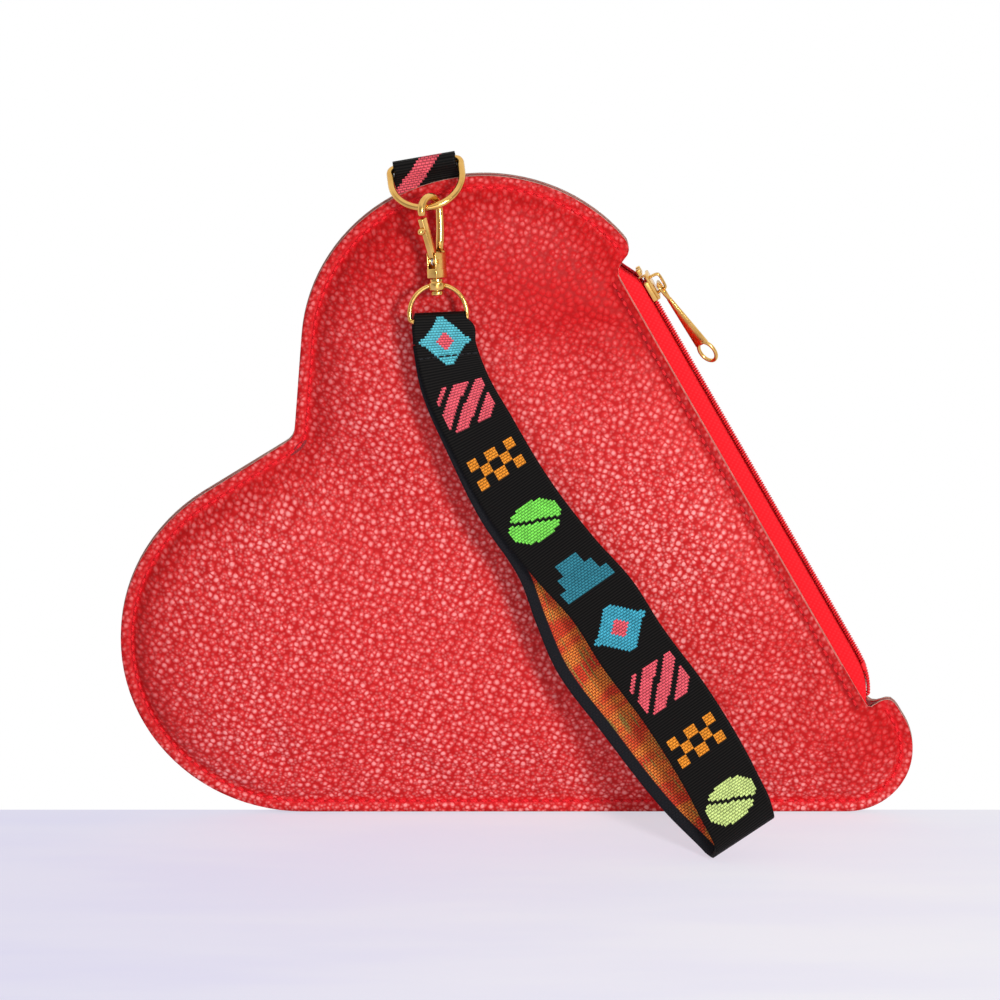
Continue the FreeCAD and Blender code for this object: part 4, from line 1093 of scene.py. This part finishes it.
# D-ring: bent from one round wire and gold plated, with a straight bar that the tab is folded round
# and a round bow that the hook hangs in.
RING_WIRE = 1.1
RING_HALF = 10.8
RING_CORNER = 1.7
RING_HEIGHT = 16.5
RING_LEAN = math.radians(-55)
ring_frame = tab_frame @ Matrix.Translation((0, TAB_BAR, 0)) @ Matrix.Rotation(RING_LEAN, 4, "X")
corner_at = np.array((RING_HALF - RING_CORNER, -RING_CORNER))
flat_ring = arc(np.array((0.0, RING_HALF - RING_HEIGHT)), RING_HALF, -180, 0, 33)
flat_ring += arc(corner_at, RING_CORNER, 0, 90, 7) + arc(corner_at * (-1, 1), RING_CORNER, 90, 180, 7)
d_ring = wire("d_ring_wire", [(x, y, 0) for x, y in flat_ring], RING_WIRE, ring_frame, gold, closed=True)
belongs(d_ring, "ring", "d_ring")

# Snap hook: a cast gold plated body with a round crook over the D-ring, a tapering bar, a slotted
# shank and a post that the swivel turns on. Its pin and spring are separate pieces.
HOOK_AXES = (
    (0.64198, 0.7419, -0.19349), (-0.76508, 0.60341, -0.22483), (-0.05005, 0.29237, 0.95499),
)
CROOK = 4.2
CROOK_TIP = 1.4
CROOK_WIRE = 1.2
CROOK_STEPS = 18
HOOK_BAR = ((2.0, CROOK, 1.25), (5.5, 4.1, 1.3), (9.0, 3.75, 1.35), (12.5, 3.35, 1.3))
CHEEK_ACROSS = (1.3, 1.85)
CHEEK_RUN = (-0.9, 4.0)
CHEEK_DROP = (-18.6, -12.8)
SPINE = ((2.6, -1.6, -20.3), (4.4, 1.6, -12.2))
SHANK_FOOT = ((-0.95, -1.92, -20.5), (4.05, 1.92, -17.6))
SHANK_ROUNDING = 0.3
SWIVEL_OFFSET = 1.2
HOOK_POST = ((-24.6, -20.3, 1.1), (-25.7, -24.4, 1.9))
HOOK_POST_ROUNDING = 0.3
STEEL = (0.62, 0.62, 0.62), (0.48, 0.48, 0.5)
STEEL_POLISH = (0.3, 0.42)
hook_frame = frame_of((-24.78561, -25.473, 115.98432), *HOOK_AXES)


def only(kind, parts):
    """The vertices, edges or faces among what an operator gives back."""
    return [part for part in parts if isinstance(part, kind)]


def rod(shape, radius, length, segments, place):
    bmesh.ops.create_cone(
        shape, cap_ends=True, segments=segments, radius1=radius, radius2=radius, depth=length, matrix=place
    )


shape = bmesh.new()
tip_at = Matrix.Translation((-CROOK, 0, -CROOK_TIP))
bmesh.ops.create_circle(shape, cap_ends=True, segments=16, radius=CROOK_WIRE, matrix=tip_at)
ends = bmesh.ops.extrude_face_region(shape, geom=shape.faces[:])["geom"]
bmesh.ops.translate(shape, verts=only(bmesh.types.BMVert, ends), vec=(0, 0, CROOK_TIP))
rim = only(bmesh.types.BMEdge, ends)
bmesh.ops.delete(shape, geom=only(bmesh.types.BMFace, ends), context="FACES_ONLY")
swept = bmesh.ops.spin(
    shape, geom=rim, cent=(0, 0, 0), axis=(0, 1, 0), angle=math.pi, steps=CROOK_STEPS, use_merge=False
)
rim = only(bmesh.types.BMEdge, swept["geom_last"])
for drop, middle, thick in HOOK_BAR:
    grown = bmesh.ops.extrude_edge_only(shape, edges=rim)["geom"]
    verts = only(bmesh.types.BMVert, grown)
    centre = sum((v.co for v in verts), Vector()) / len(verts)
    for vert in verts:
        away = vert.co - centre
        away.z = 0
        vert.co = Vector((middle, 0, -drop)) + away.normalized() * thick
    rim = only(bmesh.types.BMEdge, grown)
bmesh.ops.contextual_create(shape, geom=rim)
bmesh.ops.recalc_face_normals(shape, faces=shape.faces)
crook = new_piece("hook_crook", shape, hook_frame, gold)
shape = bmesh.new()
for side in (-1, 1):
    block(shape, *zip(CHEEK_RUN, sorted(side * edge for edge in CHEEK_ACROSS), CHEEK_DROP))
block(shape, *SPINE)
block(shape, *SHANK_FOOT)
round_off(shape, SHANK_ROUNDING)
shank = new_piece("hook_shank", shape, hook_frame, gold)
shape = bmesh.new()
for low, high, radius in HOOK_POST:
    rod(shape, radius, high - low, 24, Matrix.Translation((0, 0, (low + high) / 2)))
rims = [edge for edge in shape.edges if len(edge.link_faces) == 2 and edge.calc_face_angle() > 1]
round_off(shape, HOOK_POST_ROUNDING, 2, rims)
post = new_piece("swivel_post", shape, hook_frame @ Matrix.Translation((SWIVEL_OFFSET, 0, 0)), gold)
for piece, node in ((crook, None), (shank, "hook_body"), (post, None)):
    belongs(piece, "hook", node)
spring_steel = metal_finish("spring_steel", *STEEL, *STEEL_POLISH)
for node, finish in (("gate_pin", gold), ("gate_spring", spring_steel)):
    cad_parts[node].data.materials.clear()
    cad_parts[node].data.materials.append(finish)

# Gate: a flat cast lever, gold plated, hung on the hook's pin. The spring closes it against the
# crook's tip, and a round thumb knob opens it.
GATE_LEAN = math.radians(-19.4)
LEVER_LOW = (-1.1, -1.0, 1.4)
LEVER_HIGH = (1.1, 1.0, 14.1)
LEVER_WIDENING = 1.12
LEVER_ROUNDING = 0.4
PIN_BOSS = 1.35
PIN_BOSS_DEPTH = 0.24
PIN_BOSS_ACROSS = 0.88
PIN_BOSS_UP = 0.3
KNOB_AT = (-1.8, 0, 10.5)
KNOB_SIZE = (1.15, 1.05, 1.5)
QUARTER_TURN = math.radians(90)
gate_frame = frame_of((-23.62466, -29.55962, 101.06581), *HOOK_AXES) @ Matrix.Rotation(GATE_LEAN, 4, "Y")
shape = bmesh.new()
for vert in block(shape, LEVER_LOW, LEVER_HIGH):
    if vert.co.z > LEVER_HIGH[2] / 2:
        vert.co.x *= LEVER_WIDENING
round_off(shape, LEVER_ROUNDING)
for side in (-1, 1):
    boss_at = Matrix.Translation((0, side * PIN_BOSS_ACROSS, PIN_BOSS_UP))
    rod(shape, PIN_BOSS, PIN_BOSS_DEPTH, 20, boss_at @ Matrix.Rotation(QUARTER_TURN, 4, "X"))
lever = new_piece("gate_lever", shape, gate_frame, gold)
shape = bmesh.new()
knob_at = Matrix.Translation(KNOB_AT) @ Matrix.Rotation(QUARTER_TURN, 4, "Y")
place = knob_at @ Matrix.Diagonal((*KNOB_SIZE, 1))
bmesh.ops.create_uvsphere(shape, u_segments=20, v_segments=14, radius=1, matrix=place)
knob = new_piece("gate_knob", shape, gate_frame, gold)
for piece, node in ((lever, "hook_gate"), (knob, None)):
    belongs(piece, "gate", node)

# Swivel loop: a turned collar, gold plated, free to turn on the hook's post above its head, with a
# wire loop brazed to it that the strap is folded over.
LOOP_RADIUS = 8.6
LOOP_WIRE = 0.75
LOOP_MIDDLE = np.array((0.0, -31.05))
LOOP_STARTS = 76.5
LOOP_CORNER = ((LOOP_RADIUS, -32.6), (8.2, -33.1), (7.6, -33.35))
COLLAR_PROFILE = (
    (1.45, -24.05), (2.3, -24.05), (2.5, -23.7), (2.5, -22.0), (2.1, -21.5), (2.1, -20.85), (1.45, -20.85),
)
COLLAR_STEPS = 28
COLLAR_SHARP = math.radians(35)
swivel_frame = frame_of(
    (-24.01523, -24.58271, 115.75213), (0.99875, 0.01465, 0.04786), (0.0, 0.9562, -0.29274), HOOK_AXES[2]
)
loop_path = arc(LOOP_MIDDLE, LOOP_RADIUS, LOOP_STARTS, 0, 15) + list(LOOP_CORNER)
loop_path += [(-x, z) for x, z in reversed(LOOP_CORNER)]
loop_path += arc(LOOP_MIDDLE, LOOP_RADIUS, 180, 180 - LOOP_STARTS, 15)
loop = wire("swivel_wire", [(x, 0, z) for x, z in loop_path], LOOP_WIRE, swivel_frame, gold)
shape = bmesh.new()
corners = [shape.verts.new((x, 0, z)) for x, z in COLLAR_PROFILE]
edges = [shape.edges.new(pair) for pair in zip(corners, corners[1:] + corners[:1])]
bmesh.ops.spin(
    shape, geom=corners + edges, cent=(0, 0, 0), axis=(0, 0, 1), angle=math.tau, steps=COLLAR_STEPS,
    use_merge=True,
)
bmesh.ops.remove_doubles(shape, verts=shape.verts, dist=1e-3)
bmesh.ops.recalc_face_normals(shape, faces=shape.faces)
collar = new_piece("swivel_collar", shape, swivel_frame, gold)
collar.data.set_sharp_from_angle(angle=COLLAR_SHARP)
for piece, node in ((loop, "swivel_loop"), (collar, None)):
    belongs(piece, "swivel", node)

# Wrist strap: one band of patterned webbing, folded over the loop's bar, sewn across just below
# it, and round at its lower end, where the rear run stands away and shows its wrong side.
STRAP_WIDTH = 22.0
FOLD_WIDTH = 14.4
STRAP_LAYER = 1.2
LOOP_BAR = Vector((-22.34609, -34.33331, 83.90307))
LOOP_TURN = 2.7
WRAP = 2.05
WRAP_ASIDE = 0.4
TAIL_TURN = 4.7
TAIL_RISE = Vector((0, 0, 0.4))
BEND_TURN = 35.0
BEND_REACH = 2.6
BEND_STATIONS = ((0.2, 0.7), (0.5, 1.0), (0.8, 0.7))
FRONT_RUN = (
    (-21.2, -36.38, 83.9), (-20.2, -36.0, 76.53), (-17.2, -36.75, 65.78), (-9.0, -38.7, 48.89),
    (2.4, -42.14, 29.24), (15.89, -45.33, 11.73), (27.2, -47.63, -0.86), (35.8, -51.28, -13.76),
    (50.4, -55.85, -33.11), (65.2, -59.5, -58.6), (70.0, -60.41, -69.66),
)
REAR_RUN = (
    (-21.8, -32.28, 83.9), (-21.0, -34.3, 76.53), (-18.6, -35.0, 65.78), (-11.0, -36.85, 48.89),
    (-0.8, -40.26, 29.07), (10.9, -41.2, 10.59), (15.9, -40.4, -3.65), (21.8, -40.4, -18.28),
    (36.4, -43.3, -38.43), (56.0, -49.7, -62.2), (66.4, -55.0, -71.4),
)
RUN_TURNS = (2.7, 4.7, 14.4, 29.8, 36.0, 36.9, 36.0, 35.0, 36.0, 37.0, 38.0)
RUN_WIDTHS = (0.4, 0.52, 0.66, 0.86, 1.0, 1.0, 1.0, 1.0, 1.0, 1.0, 1.0)
CYAN = (0.13, 0.62, 0.72, 1)
BLUE = (0.07, 0.46, 0.62, 1)
TEAL = (0.04, 0.25, 0.33, 1)
ORANGE = (0.98, 0.33, 0.03, 1)
LIME = (0.24, 0.90, 0.11, 1)
PALE_LIME = (0.73, 0.92, 0.30, 1)
MOTIF_PITCH = 20.8
MOTIF_START = 6.0


def strap_stations():
    """Where the band's middle passes, its turn in degrees, and how far it has widened from its fold."""
    front, rear = (
        [(Vector(at), turn, width) for at, turn, width in zip(run, RUN_TURNS, RUN_WIDTHS)]
        for run in (FRONT_RUN, REAR_RUN)
    )
    stations = [(rear[1][0] + TAIL_RISE, TAIL_TURN, 0.5), (rear[0][0], LOOP_TURN, 0.3)]
    for angle in (-45, 0, 45):
        swing = math.radians(angle)
        shift = Vector((WRAP_ASIDE, -math.sin(swing) * WRAP, math.cos(swing) * WRAP))
        stations.append((LOOP_BAR + shift, LOOP_TURN, 0.05 + 0.1 * abs(math.sin(swing))))
    front_first = len(stations)
    stations += front
    front_end, rear_end = front[-1][0], rear[-1][0]
    run_on = (front_end - front[-2][0]).normalized() * BEND_REACH
    for share, reach in BEND_STATIONS:
        stations.append((front_end.lerp(rear_end, share) + run_on * reach, BEND_TURN, 1.0))
    stations += rear[:0:-1]
    return np.array([(*at, turn, width) for at, turn, width in stations]), front_first


rows, front_first = strap_stations()
gaps = np.linalg.norm(np.diff(rows[:, :3], axis=0), axis=1)
station_at = np.concatenate([[0], np.cumsum(gaps)])
FRONT_START = float(station_at[front_first])
STRAP_LENGTH = float(station_at[-1])


def smooth_rows(marks):
    """The stations joined by a smooth line, with its value at each mark along it."""
    slopes = np.gradient(rows, station_at, axis=0)
    slot = np.clip(np.searchsorted(station_at, marks) - 1, 0, len(gaps) - 1)
    span = gaps[slot][:, None]
    t = ((marks - station_at[slot]) / gaps[slot])[:, None]
    start, end = rows[slot], rows[slot + 1]
    first, last = slopes[slot] * span, slopes[slot + 1] * span
    return (
        start * (2 * t**3 - 3 * t**2 + 1) + first * (t**3 - 2 * t**2 + t)
        + end * (3 * t**2 - 2 * t**3) + last * (t**3 - t**2)
    )


fine_marks = np.linspace(0, STRAP_LENGTH, 1200)
fine_rows = smooth_rows(fine_marks)


def strap_point(share, along):
    """A point of the band, by its share of the width from the middle and its length along."""
    *middle, turn, widened = (np.interp(along, fine_marks, column) for column in fine_rows.T)
    across = Vector((math.cos(math.radians(turn)), 0, math.sin(math.radians(turn))))
    width = FOLD_WIDTH + float(np.clip(widened, 0, 1)) * (STRAP_WIDTH - FOLD_WIDTH)
    return Vector(middle) + across * (share * width)


def strap_colour(x, along):
    """Woven motifs in turn: a stepped lozenge, slanting bars, a chequer, a leaf and a stepped hill."""
    first_motif = FRONT_START + MOTIF_START
    number = math.floor((along - first_motif) / MOTIF_PITCH + 0.5)
    y = along - first_motif - number * MOTIF_PITCH
    cx, cy = round(x / WEAVE_CELL), round(y / WEAVE_CELL)
    kind = number % 5
    if number < 0:
        return NO_THREAD
    if kind == 0 and abs(cx) * 0.9 + abs(cy) <= 10 and abs(cy) <= 9:
        if abs(cx) + abs(cy) <= 3:
            return CORAL
        return CYAN if (number // 5) % 2 == 0 else BLUE
    if kind == 1 and abs(cx) <= 10 and abs(cy) <= 8 and (cx + cy) % 9 < 6 and abs(cx + cy) < 15:
        return CORAL
    if kind == 2 and -10 <= cx < 10 and -6 <= cy < 6 and ((cx + 10) // 4 + (cy + 6) // 4) % 2 == 0:
        return ORANGE
    if kind == 3 and (cx / 10.5) ** 2 + (cy / 7.5) ** 2 <= 1 and abs(cx - 2 * cy) > 1:
        return LIME if (number // 5) % 2 == 0 else PALE_LIME
    if kind == 4 and abs(cy) <= 7 and abs(cx) <= 10 - 3 * ((7 - cy) // 5):
        return TEAL
    return NO_THREAD


strap = band("wrist_strap_webbing", STRAP_WIDTH, STRAP_LENGTH, strap_point, strap_colour, STRAP_LAYER)
belongs(strap, "strap", "wrist_strap")

# Strap stitches: one row of black thread, machine sewn across the strap through both runs, just
# under the loop, to close the fold.
ROW_ALONG = FRONT_START + 10.6
ROW_SHARES = np.linspace(-0.44, 0.44, 9)
ROW_LIFT = 0.05
STRAP_STITCH_HALF = (0.95, 0.32, 0.3)
THREAD_BLACKS = (0.004, 0.004, 0.005), (0.02, 0.02, 0.022)
dark_thread = thread_finish("dark_thread", *THREAD_BLACKS)
shape = bmesh.new()
for share in ROW_SHARES:
    here = strap_point(share, ROW_ALONG)
    run = (strap_point(share + 0.01, ROW_ALONG) - here).normalized()
    out = run.cross(strap_point(share, ROW_ALONG + 1) - here).normalized()
    out = out if out.y < 0 else -out
    turn = Matrix((run, out.cross(run), out)).transposed().to_4x4()
    place = Matrix.Translation(here + out * (STRAP_LAYER / 2 + ROW_LIFT)) @ turn
    place = place @ Matrix.Diagonal((*STRAP_STITCH_HALF, 1))
    bmesh.ops.create_uvsphere(shape, u_segments=8, v_segments=6, radius=1, matrix=place)
strap_stitches = new_piece("strap_stitches", shape, Matrix.Scale(0.001, 4), dark_thread)
belongs(strap_stitches, "strap", "strap_thread")

# Set: a pale cloth covered floor up to the purse, white behind it, soft light from the upper right
# and a long lens at the photograph's height. Sizes are metres here.
FLOOR = -0.08075
FLOOR_HALF = 4.0
FLOOR_BACK = (-0.0102, -0.0098)
FLOOR_GLOW = 0.62
CLOTH_LILACS = (0.83, 0.815, 0.99), (0.95, 0.94, 1.0)
BACKDROP = (0.95, 0.95, 0.95)
WHITE = (1, 1, 1, 1)


def seen_rays(tree):
    """The rays that meet the set itself: those of the camera, of mirrors and of glass."""
    rays = step(tree, "LightPath", {})
    seen = math_step(tree, "MAXIMUM", rays["Is Camera Ray"], rays["Is Glossy Ray"])
    return math_step(tree, "MAXIMUM", seen, rays["Is Transmission Ray"]), rays["Is Glossy Ray"]


def floor_finish():
    """Lilac cloth up to the purse, painted lighter towards the key light on the right and with faint folds
    painted as light streaks, and white behind it, each seen at its own tone.
    """
    finish, tree, shader = new_finish("floor_cloth", Roughness=0.9)
    place = object_place(tree)
    aside, depth, _ = step(tree, "SeparateXYZ", {0: place})
    # Painted light and shade: faint folds as lighter streaks on the flat cloth, and the cloth lighter
    # towards the right, where the key light stands.
    folds = ramp(tree, streaked(tree, place, (3, 14, 1), 2.2, 3.0), 0.35, 0.65, 0.0, 0.3)
    tone = math_step(tree, "ADD", folds, ramp(tree, aside, -0.16, 0.14, 0.0, 0.7))
    cloth = mix(tree, tone, *CLOTH_LILACS)
    behind = ramp(tree, depth, *FLOOR_BACK)
    feed(tree, mix(tree, behind, cloth, BACKDROP), shader, "Base Color")
    seen, _ = seen_rays(tree)
    white = step(tree, "Emission", {"Color": WHITE, "Strength": 1.0})[0]
    glow = step(tree, "Emission", {"Color": cloth, "Strength": 1.0})[0]
    share = math_step(tree, "MULTIPLY", seen, FLOOR_GLOW)
    near = step(tree, "MixShader", {0: share, 1: shader.outputs[0], 2: glow})[0]
    mixed = step(tree, "MixShader", {0: math_step(tree, "MULTIPLY", behind, seen), 1: near, 2: white})[0]
    feed(tree, mixed, tree.nodes["Material Output"], "Surface")
    return finish


shape = bmesh.new()
bmesh.ops.create_grid(shape, x_segments=1, y_segments=1, size=FLOOR_HALF)
floor = new_piece("floor", shape, Matrix.Translation((0, 0, FLOOR)), floor_finish())

world = bpy.data.worlds.new("studio")
bpy.context.scene.world = world
world.use_nodes = True
tree = world.node_tree
background = tree.nodes["Background"]
background.inputs["Color"].default_value = WHITE
seen, mirrored = seen_rays(tree)
_, behind, above = step(tree, "SeparateXYZ", {0: step(tree, "TexCoord", {})["Generated"]})
room = math_step(tree, "MAXIMUM", ramp(tree, behind, -0.5, 0.3, 0.42, 1.0), ramp(tree, above, 0.35, 0.8))
mirrored = math_step(tree, "MULTIPLY", mirrored, math_step(tree, "SUBTRACT", 1.0, room))
level = math_step(tree, "SUBTRACT", ramp(tree, seen, 0.0, 1.0, 0.4, 1.0), mirrored)
feed(tree, level, background, "Strength")


def soft_light(name, at, width, watts):
    """A round soft box that faces the purse."""
    lamp = bpy.data.lights.new(name, "AREA")
    lamp.shape = "DISK"
    lamp.size = width
    lamp.energy = watts
    stand = bpy.data.objects.new(name, lamp)
    bpy.context.scene.collection.objects.link(stand)
    stand.location = at
    stand.rotation_euler = (-Vector(at)).to_track_quat("-Z", "Y").to_euler()


soft_light("key_light", (0.55, -1.3, 0.55), 0.28, 13.1)
soft_light("front_light", (0.1, -1.5, 0.05), 0.8, 3.2)

AIM = Vector((-0.0038, MIDDLE_Y / 1000, 0.0191))
ELEVATION = math.radians(18.63)
DISTANCE = 12.0
VIEW_WIDTH = 0.303
lens = bpy.data.cameras.new("camera")
lens.sensor_width = 36
lens.lens = lens.sensor_width * DISTANCE / VIEW_WIDTH
lens.clip_end = 50
camera = bpy.data.objects.new("camera", lens)
bpy.context.scene.collection.objects.link(camera)
camera.location = AIM + Vector((0, -math.cos(ELEVATION), math.sin(ELEVATION))) * DISTANCE
camera.rotation_euler = (AIM - camera.location).to_track_quat("-Z", "Y").to_euler()
bpy.context.scene.camera = camera
bpy.context.scene.view_settings.view_transform = "Standard"
